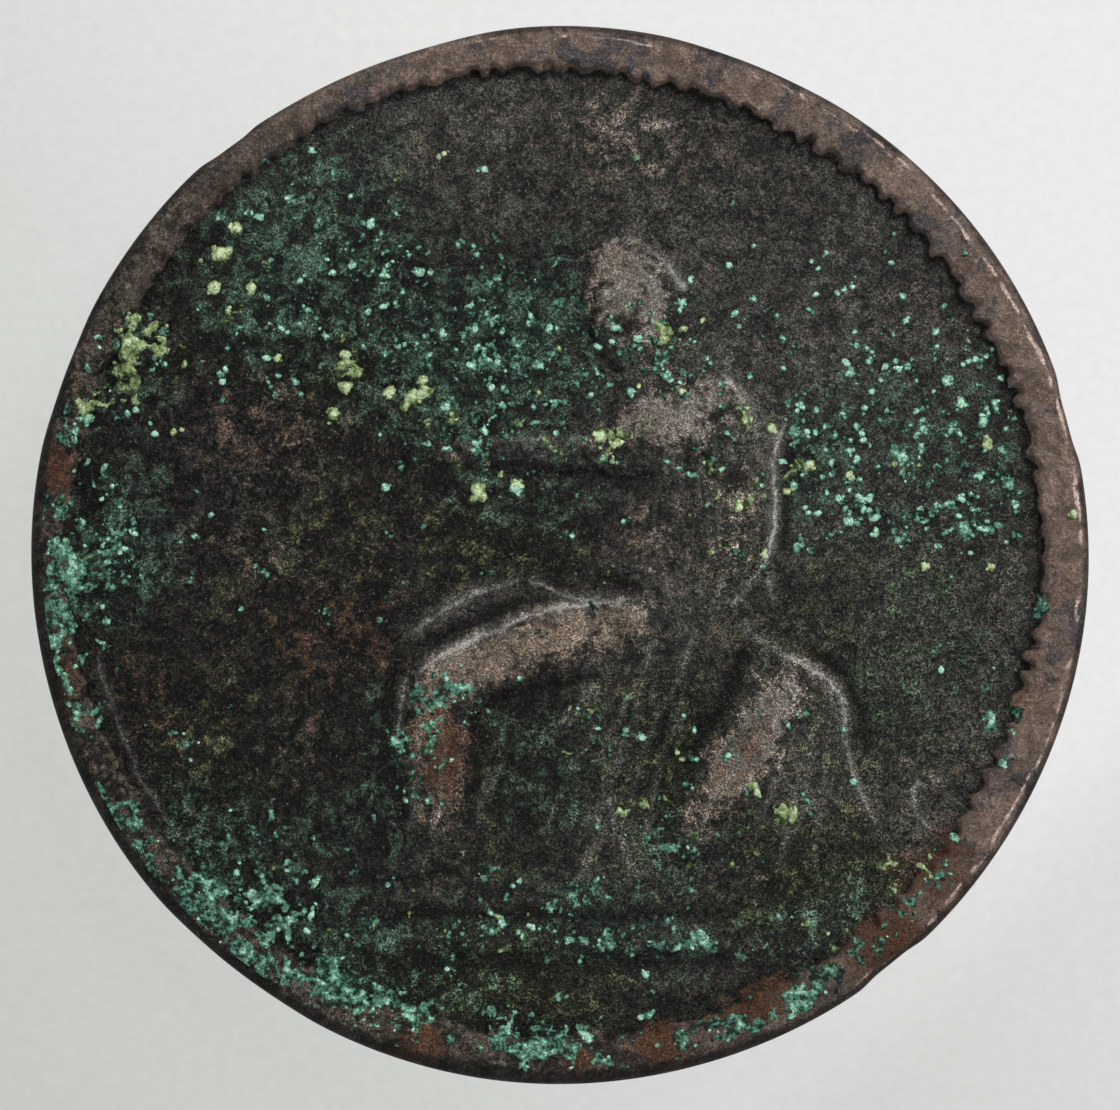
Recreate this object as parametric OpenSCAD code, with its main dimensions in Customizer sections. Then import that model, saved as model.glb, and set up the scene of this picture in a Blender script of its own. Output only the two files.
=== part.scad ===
// Struck copper token: a round flan with a raised rim on both faces, border
// teeth round the inside of each rim, a seated draped figure in low relief on
// the front, a worn wreath on the back, and grains of green corrosion.
//
// Millimetres. +Z points out of the front face and +Y towards the figure's
// head. The origin is the centre of the circle that the token rests on.

/* [Flan] */
// Diameter across the edge
token_d = 28.5; // [26:0.5:31]
// Thickness over the two rims
token_t = 2; // [1.7:0.1:2.6]
// Width of the rim, from the edge to the roots of the border teeth
rim_w = 1.2; // [1:0.1:1.5]
// Depth of the front field below the rim
front_depth = 0.3; // [0.2:0.02:0.4]
// Depth of the back field below the rim
back_depth = 0.24; // [0.16:0.02:0.3]
// Radius that rounds each face into the edge
edge_round = 0.25; // [0.1:0.05:0.4]

/* [Border teeth] */
// Number of teeth round the inside of a rim
tooth_count = 120; // [96:4:144]
// How far a tooth stands in from the rim
tooth_len = 0.2; // [0.1:0.05:0.3]

/* [Figure] */
// Height of the figure's highest part above the field
figure_h = 0.3; // [0.2:0.02:0.36]
// Spacing of the points that shape the figure's surface
figure_step = 0.26; // [0.24:0.02:0.5]
// Length of the ground bar under the figure
ground_len = 9; // [6:0.5:12]
// Width of the ground bar
ground_w = 0.85; // [0.5:0.05:1.1]
// Height of the ground bar above the field
ground_h = 0.1; // [0.06:0.02:0.2]

/* [Back] */
// Number of leaf pairs in the wreath
leaf_pairs = 22; // [14:1:24]
// Radius of the circle that the leaf pairs start from
wreath_r = 8.4; // [7:0.2:9]
// Height of the wreath above the back field
wreath_h = 0.1; // [0.06:0.02:0.14]

/* [Verdigris] */
// Diameter of a middling grain of corrosion
grain_d = 0.26; // [0.2:0.02:0.36]
// Height of a grain
grain_h = 0.07; // [0.04:0.01:0.1]

/* [Hidden] */
$fn = 96;

COPPER = [0.37, 0.31, 0.27];
TEAL = [0.40, 0.63, 0.53];
PALE = [0.70, 0.73, 0.48];

token_r = token_d / 2;
// The figure and the corrosion are laid out on a token of this diameter.
NOMINAL_D = 28.5;
layout = token_d / NOMINAL_D;
root_r = token_r - rim_w;
tip_r = root_r - tooth_len;
field_z = token_t - front_depth;
back_z = back_depth;
// How deep a raised feature is rooted in the flan below it
ROOT = 0.06;

// The figure's limbs, each a tapered round form of low relief between two
// points: [x, y, radius, x, y, radius, share of figure_h].
LIMBS = [
    [1.75, 7.5, 1.1, 2.2, 7.0, 1.25, 0.9],    // head
    [1.5, 7.0, 0.75, 1.4, 6.5, 0.6, 0.8],     // face
    [0.85, 7.2, 0.3, 0.65, 6.95, 0.25, 0.6],  // nose
    [1.15, 6.25, 0.35, 1.05, 6.15, 0.3, 0.65], // chin
    [2.9, 6.8, 0.55, 3.1, 6.2, 0.45, 0.6],    // knot of hair
    [2.4, 5.9, 0.6, 2.7, 4.8, 0.8, 0.7],      // neck
    [2.3, 3.8, 1.2, 4.0, 3.9, 1.2, 1],        // chest and shoulders
    [3.2, 3.2, 1.8, 3.0, 0.4, 1.6, 0.9],      // ribs
    [3.0, 0.4, 1.7, 3.4, -1.7, 1.6, 0.8],     // waist and lap
    [4.3, 3.7, 1.0, 4.7, 1.2, 0.9, 0.85],     // back upper arm
    [4.7, 1.2, 0.85, 4.2, -1.4, 0.8, 0.7],    // back forearm
    [1.8, 3.4, 0.8, 0.9, 2.8, 0.65, 0.75],    // front upper arm
    [0.9, 2.75, 0.6, -2.4, 2.75, 0.5, 0.65],  // front forearm
    [-2.5, 2.7, 0.45, -3.3, 2.8, 0.35, 0.5],  // front hand
    [-3.2, 3.1, 0.3, -5.0, 4.3, 0.3, 0.4],    // sprig
    [2.0, -2.15, 0.9, -2.9, -3.3, 0.95, 1],   // near thigh
    [0.6, -1.4, 0.55, -1.2, -1.4, 0.5, 0.7],  // far thigh
    [-1.2, -1.4, 0.5, -3.9, -2.4, 0.5, 0.6],  // far knee
    [-3.2, -3.9, 0.95, -3.5, -7.4, 0.8, 0.8], // near shin
    [-3.5, -8.1, 0.55, -4.8, -8.4, 0.4, 0.6], // near foot
    [2.6, -3.2, 0.9, 1.1, -6.0, 0.7, 0.6],    // robe between the legs
    [1.1, -6.0, 0.7, -0.1, -8.2, 0.6, 0.55],  // robe's hem
    [3.6, -2.2, 1.5, 4.9, -3.4, 1.5, 0.7],    // hip
    [6.1, -3.7, 1.3, 3.8, -7.2, 1.1, 0.75],   // robe over the seat
    [6.2, -5.0, 1.6, 6.7, -7.4, 1.7, 0.5]     // seat
];
// The corners of the rectangle that holds the figure: [[x, y], [x, y]]
FIGURE_BOX = [[-5.6, -9.4], [8.7, 9]];
// How far the figure's surface dips under the field where there is no limb
DIP = 0.05;
// Middle of the ground bar
GROUND = [0.7, -10.3];

// One border tooth: [share of the pitch, share of the way from root to tip]
TOOTH = [[0, 0], [0.3, 0], [0.5, 1], [0.8, 1]];

// One leaf of the wreath: its length, its width and its lean from the stem
LEAF_LEN = 1.9;
LEAF_W = 0.75;
LEAF_SPLAY = 32;
// Distance between the two leaves of a pair where they start
LEAF_GAP = 0.3;

// Patches of corrosion: [x, y, radius of the patch, number of grains]
TEAL_FIELD = [
    [8.6, 4.2, 2.6, 26],
    [10.4, 1.6, 1.7, 14],
    [-3.6, 6.4, 2.6, 12],
    [-7.2, -8.2, 1.8, 12],
    [-9.4, 0.2, 1.4, 5]
];
PALE_FIELD = [
    [-8.6, 7.6, 1.6, 6],
    [-6.6, 3.4, 1.6, 5],
    [-10.9, 5.0, 1.0, 5],
    [9.2, -1.2, 1.2, 4]
];
// Corrosion along the rim: [first angle, last angle, number of grains]
TEAL_RIM = [
    [170, 196, 12],
    [212, 250, 24],
    [258, 300, 20],
    [312, 322, 4]
];
PALE_RIM = [[150, 164, 5]];
// Corrosion on the back field, in the same form as TEAL_FIELD
TEAL_BACK = [
    [-4.2, 2.4, 2.2, 12],
    [3.8, -3.6, 1.8, 10]
];
PALE_BACK = [[2.2, 4.6, 1.2, 4]];
GOLDEN_ANGLE = 137.5;
// Radial steps between the three rows of grains along a rim
ROW_STEP = 0.22;

function polar(r, a) = [r * cos(a), r * sin(a)];

// Height of one limb at p, as a share of figure_h; below zero outside it.
function limb_share(p, limb) =
    let (
        a = [limb[0], limb[1]],
        along = [limb[3], limb[4]] - a,
        t = min(1, max(0, (p - a) * along / (along * along))),
        r = limb[2] + t * (limb[5] - limb[2]),
        d = norm(p - a - t * along) / r
    )
    limb[6] * (1 - d * d);

// Height of the figure above the field at p, on the nominal layout.
function figure_height(p) =
    max(-DIP, figure_h * max([for (limb = LIMBS) limb_share(p, limb)]));

// A ring of blunt teeth that point inwards, as one closed outline.
function toothed_ring(root, tip, count) =
    let (pitch = 360 / count)
    [
        for (i = [0:count - 1])
        for (corner = TOOTH)
        polar(root + corner[1] * (tip - root), (i + corner[0]) * pitch)
    ];

// One leaf's outline: two arcs that meet in points at both ends.
function leaf_outline(len, w, steps = 5) =
    concat(
        [for (i = [0:steps - 1]) [len * i / steps, w / 2 * sin(180 * i / steps)]],
        [for (i = [0:steps - 1]) [len * (1 - i / steps), -w / 2 * sin(180 * i / steps)]]
    );

// Diameter of the grain with this number. Sizes go round in a cycle of four.
function grain_size(i) = grain_d * (0.8 + 0.2 * (i % 4));

// The blank disc: flat faces rounded into a true cylindrical edge.
module flan() {
    corner_steps = 4;
    corner = [
        for (i = [0:corner_steps])
        polar(edge_round, 90 * i / corner_steps)
    ];
    low = [for (i = [corner_steps:-1:0])
        [token_r - edge_round + corner[i][0], edge_round - corner[i][1]]];
    high = [for (c = corner)
        [token_r - edge_round + c[0], token_t - edge_round + c[1]]];
    rotate_extrude()
        polygon(concat([[0, 0]], low, high, [[0, token_t]]));
}

// What the die presses out of one face, inside the teeth of its rim.
module face_recess(z, depth) {
    translate([0, 0, z])
        linear_extrude(depth)
            polygon(toothed_ring(root_r, tip_r, tooth_count));
}

// The figure: a net of computed heights with straight sides and a flat base
// that is rooted inside the flan.
module figure() {
    low = FIGURE_BOX[0];
    size = FIGURE_BOX[1] - low;
    nx = ceil(size[0] / figure_step);
    ny = ceil(size[1] / figure_step);
    base = -DIP - ROOT;
    net = [
        for (j = [0:ny])
        for (i = [0:nx])
        let (p = low + [size[0] * i / nx, size[1] * j / ny])
        [p[0], p[1], figure_height(p)]
    ];
    rim = concat(
        [for (i = [0:nx - 1]) i],
        [for (j = [0:ny - 1]) j * (nx + 1) + nx],
        [for (i = [nx:-1:1]) ny * (nx + 1) + i],
        [for (j = [ny:-1:1]) j * (nx + 1)]
    );
    net_count = len(net);
    rim_count = len(rim);
    feet = [for (k = rim) [net[k][0], net[k][1], base]];
    top = [
        for (j = [0:ny - 1])
        for (i = [0:nx - 1])
        let (k = j * (nx + 1) + i)
        for (face = [[k, k + nx + 1, k + nx + 2], [k, k + nx + 2, k + 1]])
        face
    ];
    sides = [
        for (m = [0:rim_count - 1])
        let (next = (m + 1) % rim_count)
        [rim[m], rim[next], net_count + next, net_count + m]
    ];
    middle = [low[0] + size[0] / 2, low[1] + size[1] / 2, base];
    bottom = [
        for (m = [0:rim_count - 1])
        [net_count + m, net_count + (m + 1) % rim_count, net_count + rim_count]
    ];
    translate([0, 0, field_z])
        scale(layout)
            polyhedron(concat(net, feet, [middle]), concat(top, sides, bottom), convexity = 6);
}

// The raised bar that the figure's feet stand on.
module ground_bar() {
    corner = GROUND * layout - [ground_len, ground_w] / 2;
    translate([corner[0], corner[1], field_z - ROOT])
        cube([ground_len, ground_w, ground_h + ROOT]);
}

// A ring of paired leaves on the back. The stem that they grew from is worn
// away, so the two leaves of a pair start a little apart.
module wreath() {
    for (i = [0:leaf_pairs - 1], side = [-1, 1])
        rotate(360 * i / leaf_pairs)
            translate([wreath_r * layout - side * LEAF_GAP / 2, 0, back_z - wreath_h])
                rotate(90 + side * LEAF_SPLAY)
                    linear_extrude(wreath_h + ROOT)
                        polygon(leaf_outline(LEAF_LEN, LEAF_W));
}

module token_body() {
    color(COPPER) {
        difference() {
            flan();
            face_recess(field_z, token_t);
            face_recess(back_z - token_t, token_t);
        }
        figure();
        ground_bar();
        wreath();
    }
}

// One grain of corrosion, standing on the XY plane.
module grain(d) {
    cylinder(h = grain_h, d1 = d, d2 = d / 2);
}

// The grains of a patch, spread evenly round its middle. On the front, those
// that would stand on the figure are left out.
module patch_grains(patch, on_front) {
    for (i = [0:patch[3] - 1]) {
        reach = patch[2] * sqrt((i + 0.5) / patch[3]);
        p = [patch[0], patch[1]] + polar(reach, i * GOLDEN_ANGLE);
        if (!on_front || figure_height(p) <= -DIP)
            translate([p[0], p[1], 0])
                grain(grain_size(i));
    }
}

// Grains on the field of the front face, clear of the figure.
module field_grains(patches) {
    translate([0, 0, field_z])
        scale([layout, layout, 1])
            for (patch = patches)
                patch_grains(patch, on_front = true);
}

// Grains on the field of the back face, which looks down.
module back_grains(patches) {
    translate([0, 0, back_z])
        mirror([0, 0, 1])
            scale([layout, layout, 1])
                for (patch = patches)
                    patch_grains(patch, on_front = false);
}

// Grains along the flat of the front rim, in three rows.
module rim_grains(arcs) {
    rim_middle = token_r - (rim_w + edge_round) / 2;
    for (arc = arcs, i = [0:arc[2] - 1]) {
        r = rim_middle + ROW_STEP * (i % 3 - 1);
        angle = arc[0] + (arc[1] - arc[0]) * (i + 0.5) / arc[2];
        p = polar(r, angle);
        translate([p[0], p[1], token_t])
            grain(grain_size(i));
    }
}

module teal_verdigris() {
    color(TEAL) {
        field_grains(TEAL_FIELD);
        rim_grains(TEAL_RIM);
        back_grains(TEAL_BACK);
    }
}

module pale_verdigris() {
    color(PALE) {
        field_grains(PALE_FIELD);
        rim_grains(PALE_RIM);
        back_grains(PALE_BACK);
    }
}

token_body();
teal_verdigris();
pale_verdigris();
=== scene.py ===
"""The looks of a worn struck copper token with green corrosion, built around its CAD frame.

Lengths are layout millimetres on a token of radius 14.25, and MM turns them into metres.
+X is to the viewer's right, +Y towards the figure's head, +Z out of the front face.
"""

import math

import bpy
import numpy as np
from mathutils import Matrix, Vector


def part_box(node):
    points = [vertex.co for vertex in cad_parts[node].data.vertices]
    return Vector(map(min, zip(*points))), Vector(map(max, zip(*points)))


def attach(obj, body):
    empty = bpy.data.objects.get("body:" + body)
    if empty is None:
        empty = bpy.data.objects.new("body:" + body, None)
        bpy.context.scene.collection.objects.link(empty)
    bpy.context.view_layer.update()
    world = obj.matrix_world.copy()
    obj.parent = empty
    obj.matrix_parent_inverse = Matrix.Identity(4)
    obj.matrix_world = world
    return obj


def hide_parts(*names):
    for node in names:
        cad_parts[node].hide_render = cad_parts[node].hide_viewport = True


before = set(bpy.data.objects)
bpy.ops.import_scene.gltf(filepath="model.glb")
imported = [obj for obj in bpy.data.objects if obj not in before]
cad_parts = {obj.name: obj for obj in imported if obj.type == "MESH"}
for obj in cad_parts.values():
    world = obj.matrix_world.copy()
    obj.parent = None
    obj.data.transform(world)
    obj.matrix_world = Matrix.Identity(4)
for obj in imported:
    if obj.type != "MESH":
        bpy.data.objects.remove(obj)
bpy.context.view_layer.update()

LOW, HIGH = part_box("token_body")
NOMINAL_R = 14.25
MM = (HIGH.x - LOW.x) / 2 / NOMINAL_R
TOP = (HIGH.z - LOW.z) / MM

# ---------------- dimensions
FRONT_CELLS = 640
BACK_CELLS = FRONT_CELLS // 2  # token_mesh() joins two front cells to each back cell
FIELD_Z = TOP - 0.3
BACK_Z = 0.24
EDGE_ROUND = 0.3
TOOTH_COUNT = 120
RIM_MIDDLE = 13.45  # where both rims stand highest
BACK_RIM_INNER = 13.0
WREATH_R = 8.4
LAST_BEAD_R = 13.85
FIGURE_H = 0.27
WORN_H = FIGURE_H * 0.72  # wear has flattened the figure above this
LIMB_BLEND = 0.016  # how far limbs that meet melt into each other
VIEW_WIDTH = 30.1
CAMERA_DISTANCE = 0.25  # in metres

# Inner edge of the front rim: [angle in degrees, radius]
RIM_INNER = [[0, 12.92], [60, 12.92], [90, 13.02], [115, 13.12], [150, 13.05], [195, 13.2],
             [220, 12.9], [265, 12.88], [300, 12.92], [330, 12.9], [360, 12.92]]
# How clearly the border teeth survive: [angle in degrees, share]
TOOTH_WEAR = [[0, 0.35], [20, 0.95], [75, 0.8], [95, 0.35], [140, 0.2], [250, 0.2],
              [300, 0.35], [318, 0.9], [350, 0.9], [360, 0.35]]
# How brown the rim is, how dark the painted shadow line inside it, and how bright the painted highlight on
# the bevel at its outside edge: by angle
RIM_BROWN = [[0, 0.85], [40, 0.8], [75, 0.8], [105, 0.78], [135, 0.5], [160, 0.28], [185, 0.36],
             [225, 0.35], [270, 0.4], [300, 0.6], [330, 0.85], [360, 0.8]]
RIM_SHADOW = [[0, 1.0], [60, 1.0], [95, 0.8], [130, 0.5], [160, 0.15], [250, 0.15], [300, 0.4],
              [335, 0.8], [360, 1.0]]
BEVEL_HIGHLIGHT = [[0, 0.95], [20, 1.0], [40, 0.7], [70, 0.4], [90, 0.5], [110, 0.3], [150, 0.15],
                [200, 0.1], [280, 0.1], [300, 0.5], [320, 0.8], [360, 0.95]]
# Where the painted shade of the edge starts: [angle in degrees, radius]
EDGE_SHADE = [[0, 14.04], [150, 14.0], [190, 13.8], [265, 13.78], [310, 14.0], [360, 14.04]]
# Dents and flats in the outline: [angle in degrees, half width in degrees, depth]
DENTS = [[114, 15, 0.13], [129, 3, 0.08], [15, 4, 0.1], [309, 3.5, 0.1], [160, 6, 0.05],
         [232, 9, 0.05], [68, 8, 0.04]]

# The figure's limbs, each a tapered round form between two points:
# [x, y, radius, x, y, radius, share of FIGURE_H].
LIMBS = [
    [1.75, 7.5, 1.1, 2.2, 7.0, 1.25, 0.9],    # head
    [1.5, 7.0, 0.75, 1.4, 6.5, 0.6, 0.8],     # face
    [0.85, 7.2, 0.22, 0.65, 6.95, 0.16, 0.6], # nose
    [1.15, 6.25, 0.35, 1.05, 6.15, 0.25, 0.65], # chin
    [2.9, 6.8, 0.55, 3.1, 6.2, 0.45, 0.6],    # knot of hair
    [2.4, 5.9, 0.6, 2.7, 4.8, 0.8, 0.7],      # neck
    [2.3, 3.8, 1.2, 4.0, 3.9, 1.2, 1],        # chest and shoulders
    [3.2, 3.2, 1.8, 3.0, 0.4, 1.6, 0.9],      # ribs
    [3.0, 0.4, 1.7, 3.4, -1.7, 1.6, 0.8],     # waist and lap
    [4.3, 3.7, 1.0, 4.7, 1.2, 0.9, 0.85],     # back upper arm
    [4.7, 1.2, 0.85, 4.2, -1.4, 0.8, 0.7],    # back forearm
    [1.8, 3.4, 0.8, 0.9, 2.8, 0.65, 0.75],    # front upper arm
    [0.9, 2.75, 0.6, -2.4, 2.75, 0.5, 0.65],  # front forearm
    [-2.5, 2.7, 0.45, -3.3, 2.8, 0.35, 0.5],  # front hand
    [-3.2, 3.1, 0.3, -5.0, 4.3, 0.3, 0.4],    # sprig
    [2.0, -2.15, 0.9, -2.9, -3.3, 0.95, 1],   # near thigh
    [0.6, -1.4, 0.55, -1.2, -1.4, 0.5, 0.7],  # far thigh
    [-1.2, -1.4, 0.5, -3.9, -2.4, 0.5, 0.6],  # far knee
    [-3.2, -3.9, 0.95, -3.5, -7.4, 0.8, 0.8], # near shin
    [-3.5, -8.1, 0.55, -4.8, -8.4, 0.4, 0.6], # near foot
    [2.6, -3.2, 0.9, 1.1, -6.0, 0.7, 0.6],    # robe between the legs
    [1.1, -6.0, 0.7, -0.1, -8.2, 0.6, 0.55],  # robe's hem
    [3.6, -2.2, 1.5, 4.9, -3.4, 1.5, 0.7],    # hip
    [6.1, -3.7, 1.3, 3.8, -7.2, 1.1, 0.75],   # robe over the seat
    [6.2, -5.0, 1.6, 6.7, -7.4, 1.7, 0.5],    # seat
]

# Ridges that wear has left bright, with a painted highlight along their crests, such as the edges of folds:
# [height, half width, share that is rubbed and painted bright, points].
RIDGES = [
    # upper edge of the near thigh, and the knee
    [0.055, 0.1, 1.15, [[-3.9, -3.2], [-3.0, -2.6], [-1.6, -1.98], [-0.4, -1.5], [0.9, -1.33],
                        [2.3, -1.15]]],
    # far thigh
    [0.045, 0.14, 0.45, [[-4.3, -2.3], [-2.7, -1.25], [-1.7, -0.85], [-0.9, -0.65]]],
    [0.04, 0.09, 0.5, [[-0.9, -0.65], [-0.4, -0.85], [0.3, -1.15], [1.2, -1.25]]],
    # the figure's back
    [0.045, 0.1, 1.0, [[6.1, 3.6], [5.7, 2.6], [5.8, 1.4], [5.65, 0.2]]],
    [0.04, 0.08, 0.75, [[5.7, 0.6], [5.55, -0.1], [5.2, -0.7], [4.6, -1.4]]],
    [0.03, 0.08, 0.5, [[5.6, -0.4], [5.75, -1.4]]],
    # shoulder and sleeve
    [0.04, 0.13, 0.55, [[4.3, 4.9], [5.0, 4.0], [5.3, 3.0]]],
    # crown of the head
    [0.03, 0.2, 0.22, [[1.3, 8.45], [1.9, 8.45], [2.5, 8.15]]],
    [0.03, 0.11, 0.5, [[2.3, 8.25], [2.9, 7.8], [3.4, 7.1]]],
    # robe below the lap
    [0.035, 0.07, 0.35, [[3.55, -2.2], [3.3, -3.0], [3.0, -3.8]]],
    [0.03, 0.08, 0.2, [[2.5, -2.3], [2.2, -3.4], [2.0, -4.2]]],
    [0.035, 0.3, 0.16, [[1.7, -4.6], [1.4, -6.0], [0.9, -7.0], [0.4, -7.9]]],
    [0.03, 0.2, 0.22, [[1.3, -6.4], [1.6, -7.6], [2.3, -8.8]]],
    # robe over the seat
    [0.055, 0.1, 0.95, [[5.9, -2.65], [7.0, -3.2], [7.55, -3.85], [7.7, -4.6]]],
    [0.045, 0.08, 0.5, [[7.6, -3.95], [7.72, -5.3], [8.1, -6.4], [8.5, -7.3]]],
    [0.03, 0.12, 0.25, [[4.9, -1.7], [5.4, -2.3], [6.2, -2.75]]],
    [0.03, 0.07, 0.5, [[7.3, -3.5], [7.3, -4.1]]],
    [0.04, 0.08, 0.65, [[9.7, -6.0], [9.5, -6.6], [9.9, -7.4]]],
    [0.04, 0.35, 0.15, [[6.2, -3.6], [5.2, -5.2], [3.9, -6.9]]],
    # shin
    [0.035, 0.08, 0.18, [[-4.1, -3.2], [-4.3, -4.2], [-4.4, -5.1]]],
    # forearm
    [0.03, 0.12, 0.12, [[1.0, 3.2], [-0.8, 3.1], [-2.8, 3.0]]],
    # foot of the rim's wall on the left
    [0.02, 0.09, 0.24, [[-12.5, -2.7], [-12.0, -4.3], [-11.1, -6.3], [-9.9, -8.1]]],
]
# Fans of fine folds: [number, height, half width, first fold's points, last fold's points]
FOLD_FANS = [
    # robe from the shoulder over the ribs to the lap
    [6, 0.03, 0.09, [[2.9, 3.4], [2.7, 1.8], [2.2, -0.6]], [[4.9, 3.2], [5.3, 1.0], [4.7, -1.6]]],
    # robe from the lap down between the legs
    [5, 0.03, 0.1, [[1.9, -2.9], [0.6, -5.2], [-0.9, -8.3]], [[3.4, -3.6], [2.6, -6.0], [2.2, -8.4]]],
    # robe over the seat
    [5, 0.03, 0.11, [[5.4, -4.0], [4.4, -6.0], [3.4, -8.2]], [[7.3, -4.4], [7.0, -6.6], [6.8, -8.6]]],
    # robe over the shin
    [3, 0.025, 0.1, [[-3.8, -4.2], [-3.8, -5.8], [-4.0, -7.4]],
     [[-2.6, -4.2], [-2.6, -5.8], [-2.8, -7.2]]],
    # hair
    [4, 0.025, 0.09, [[1.1, 7.9], [1.8, 7.9], [2.8, 7.0]], [[1.2, 6.6], [1.8, 6.7], [2.6, 6.2]]],
]

# Grooves and undercuts, which are painted dark as shade: [depth, half width, points]
GROOVES = [
    # eye, mouth, jaw and ear of a calm, plain face
    [0.025, 0.08, [[1.05, 7.25], [1.25, 7.3], [1.45, 7.25]]],
    [0.02, 0.05, [[0.9, 6.6], [1.1, 6.6], [1.2, 6.62]]],
    [0.025, 0.12, [[1.3, 5.95], [1.8, 6.2], [2.15, 6.75]]],
    [0.02, 0.06, [[2.1, 7.3], [2.3, 7.15], [2.2, 6.95]]],
    # between the thighs
    [0.07, 0.16, [[-4.2, -2.6], [-2.4, -1.85], [-1.3, -1.32], [-0.5, -1.2]]],
    [0.07, 0.16, [[0.9, -0.5], [1.5, -0.75], [2.3, -0.95]]],
    # under the stretched arm and the elbow
    [0.03, 0.1, [[-1.4, 2.4], [-0.4, 2.35], [0.4, 2.4]]],
    [0.07, 0.09, [[0.5, 2.9], [0.9, 2.35], [1.6, 2.05], [2.7, 2.2]]],
    [0.05, 0.07, [[-0.9, 2.25], [0.0, 2.2], [0.8, 2.3]]],
    # in front of the neck
    [0.09, 0.13, [[0.75, 6.2], [1.1, 5.4], [1.7, 4.8]]],
    # sleeve and chest
    [0.06, 0.2, [[4.5, 2.3], [4.9, 1.8]]],
    [0.05, 0.12, [[3.5, 3.2], [3.4, 2.4]]],
    [0.05, 0.12, [[3.8, 2.8], [4.3, 1.9]]],
    # under the near thigh, and along the shin
    [0.05, 0.2, [[-2.0, -3.8], [-0.5, -3.55], [1.2, -3.2]]],
    [0.06, 0.18, [[-4.5, -3.0], [-4.75, -4.4], [-4.7, -6.6]]],
    [0.04, 0.2, [[-2.2, -4.6], [-2.3, -6.0], [-2.6, -7.4]]],
    # behind the back, the hip and the seat
    [0.04, 0.15, [[6.3, 3.2], [6.1, 1.6], [6.0, 0.0]]],
    [0.05, 0.16, [[6.2, -2.3], [7.4, -3.0], [8.1, -4.2], [8.2, -5.4]]],
    [0.04, 0.2, [[5.0, -2.4], [4.4, -4.0], [3.0, -6.0]]],
    # above and below the ground bar
    [0.05, 0.2, [[-4.6, -9.65], [0.5, -9.7], [5.2, -9.6]]],
    [0.05, 0.18, [[-4.2, -11.0], [0.6, -11.0], [5.0, -10.9]]],
]

# Fine straight scratches: [x, y, x, y]
SCRATCHES = [
    [6.2, -3.5, 6.2, -4.2], [3.4, -6.1, 4.6, -5.7], [3.3, -6.6, 4.6, -6.7], [5.2, 7.3, 7.7, 7.2],
    [-7.5, 3.0, -4.2, 3.9], [0.5, 10.9, 2.3, 12.1], [-9.0, -2.2, -6.8, -1.4], [3.0, 9.0, 4.4, 7.4],
]

# The ground bar that the feet stand on: middle, half length, half width, height
BAR = [0.7, -10.3, 4.5, 0.42, 0.085]

# Creased cloth: [direction of its creases in degrees, patches of it as below]
CREASED = [
    [62, [[0.9, -5.6, 2.4, 3.2, 0, 0.9], [5.4, -5.8, 2.8, 2.8, 0, 0.6], [-2.0, -5.8, 1.6, 2.6, 0, 0.5]]],
    [100, [[4.0, 1.0, 1.8, 3.2, 0, 0.7], [2.4, -0.4, 1.4, 1.2, 0, 0.5]]],
]

# ---------------- patches
# Soft patches of colour, of dust and painted sheen, of painted shade, and of crust: [x, y, half width, half
# height, turn in degrees, strength]
BROWN = [
    [1.7, 11.2, 3.6, 1.5, -6, 0.44], [-3.4, 10.6, 2.4, 1.2, 10, 0.25], [6.4, 9.6, 2.6, 1.5, -25, 0.2],
    [1.9, 7.1, 1.35, 1.45, 10, 0.85], [2.0, 7.7, 1.2, 0.8, -20, 0.8], [3.1, 3.8, 1.2, 0.95, 0, 0.8],
    [2.0, 3.5, 1.4, 0.5, 15, 0.6], [2.5, 5.3, 0.9, 0.8, 0, 0.3], [4.0, 4.2, 0.9, 0.7, 0, 0.6],
    [2.2, 0.3, 1.3, 1.1, 0, 0.25], [4.6, 1.0, 0.7, 2.4, -5, 0.3],
    [-2.3, -2.85, 1.9, 0.74, 27, 0.95], [0.0, -2.05, 1.8, 0.74, 13, 0.9], [1.4, -1.8, 1.2, 0.6, 6, 0.8],
    [-3.3, -3.5, 0.8, 0.7, 0, 0.7], [-3.2, -5.4, 0.85, 1.9, 3, 0.6], [5.1, -5.1, 0.8, 2.5, -35, 0.95],
    [6.9, -3.3, 0.9, 0.6, -25, 0.5], [-2.8, 2.7, 0.8, 0.45, 0, 0.35], [9.8, -6.4, 2.2, 1.8, 20, 0.34],
    [-7.5, 3.2, 2.6, 2.2, 10, 0.3], [-7.4, -5.2, 2.2, 1.4, 0, 0.25], [4.4, -8.6, 2.2, 0.7, 0, 0.3],
    [9.8, 6.4, 1.8, 2.0, 30, 0.25], [-8.4, 0.4, 2.6, 1.6, 0, 0.2],
]
RED = [
    [-3.2, -5.3, 0.8, 1.7, 0, 0.75], [-6.0, -2.3, 2.6, 2.4, 0, 0.35], [-11.2, -4.4, 1.6, 2.2, 0, 0.3],
    [5.0, -5.4, 0.7, 2.0, -35, 0.5], [10.2, -8.4, 1.6, 1.4, 40, 0.6], [-3.8, -13.2, 0.9, 0.6, 0, 0.9],
    [0.6, -13.4, 0.6, 0.5, 0, 0.9], [2.6, -13.1, 0.9, 0.6, 0, 0.9], [8.8, -10.4, 1.6, 0.8, 40, 0.8],
    [13.6, 4.8, 0.5, 1.8, 0, 0.45], [1.0, 11.0, 2.6, 1.4, 0, 0.25], [-13.4, -3.6, 0.5, 1.6, 0, 0.6],
    [-13.4, 2.4, 0.5, 0.9, 0, 0.8], [2.6, 3.6, 1.2, 0.8, 0, 0.3], [-8.2, 3.4, 2.0, 1.6, 0, 0.3],
    [12.6, -3.4, 0.7, 2.0, 15, 0.4], [5.4, -11.9, 1.8, 0.6, 20, 0.7],
]
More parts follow.
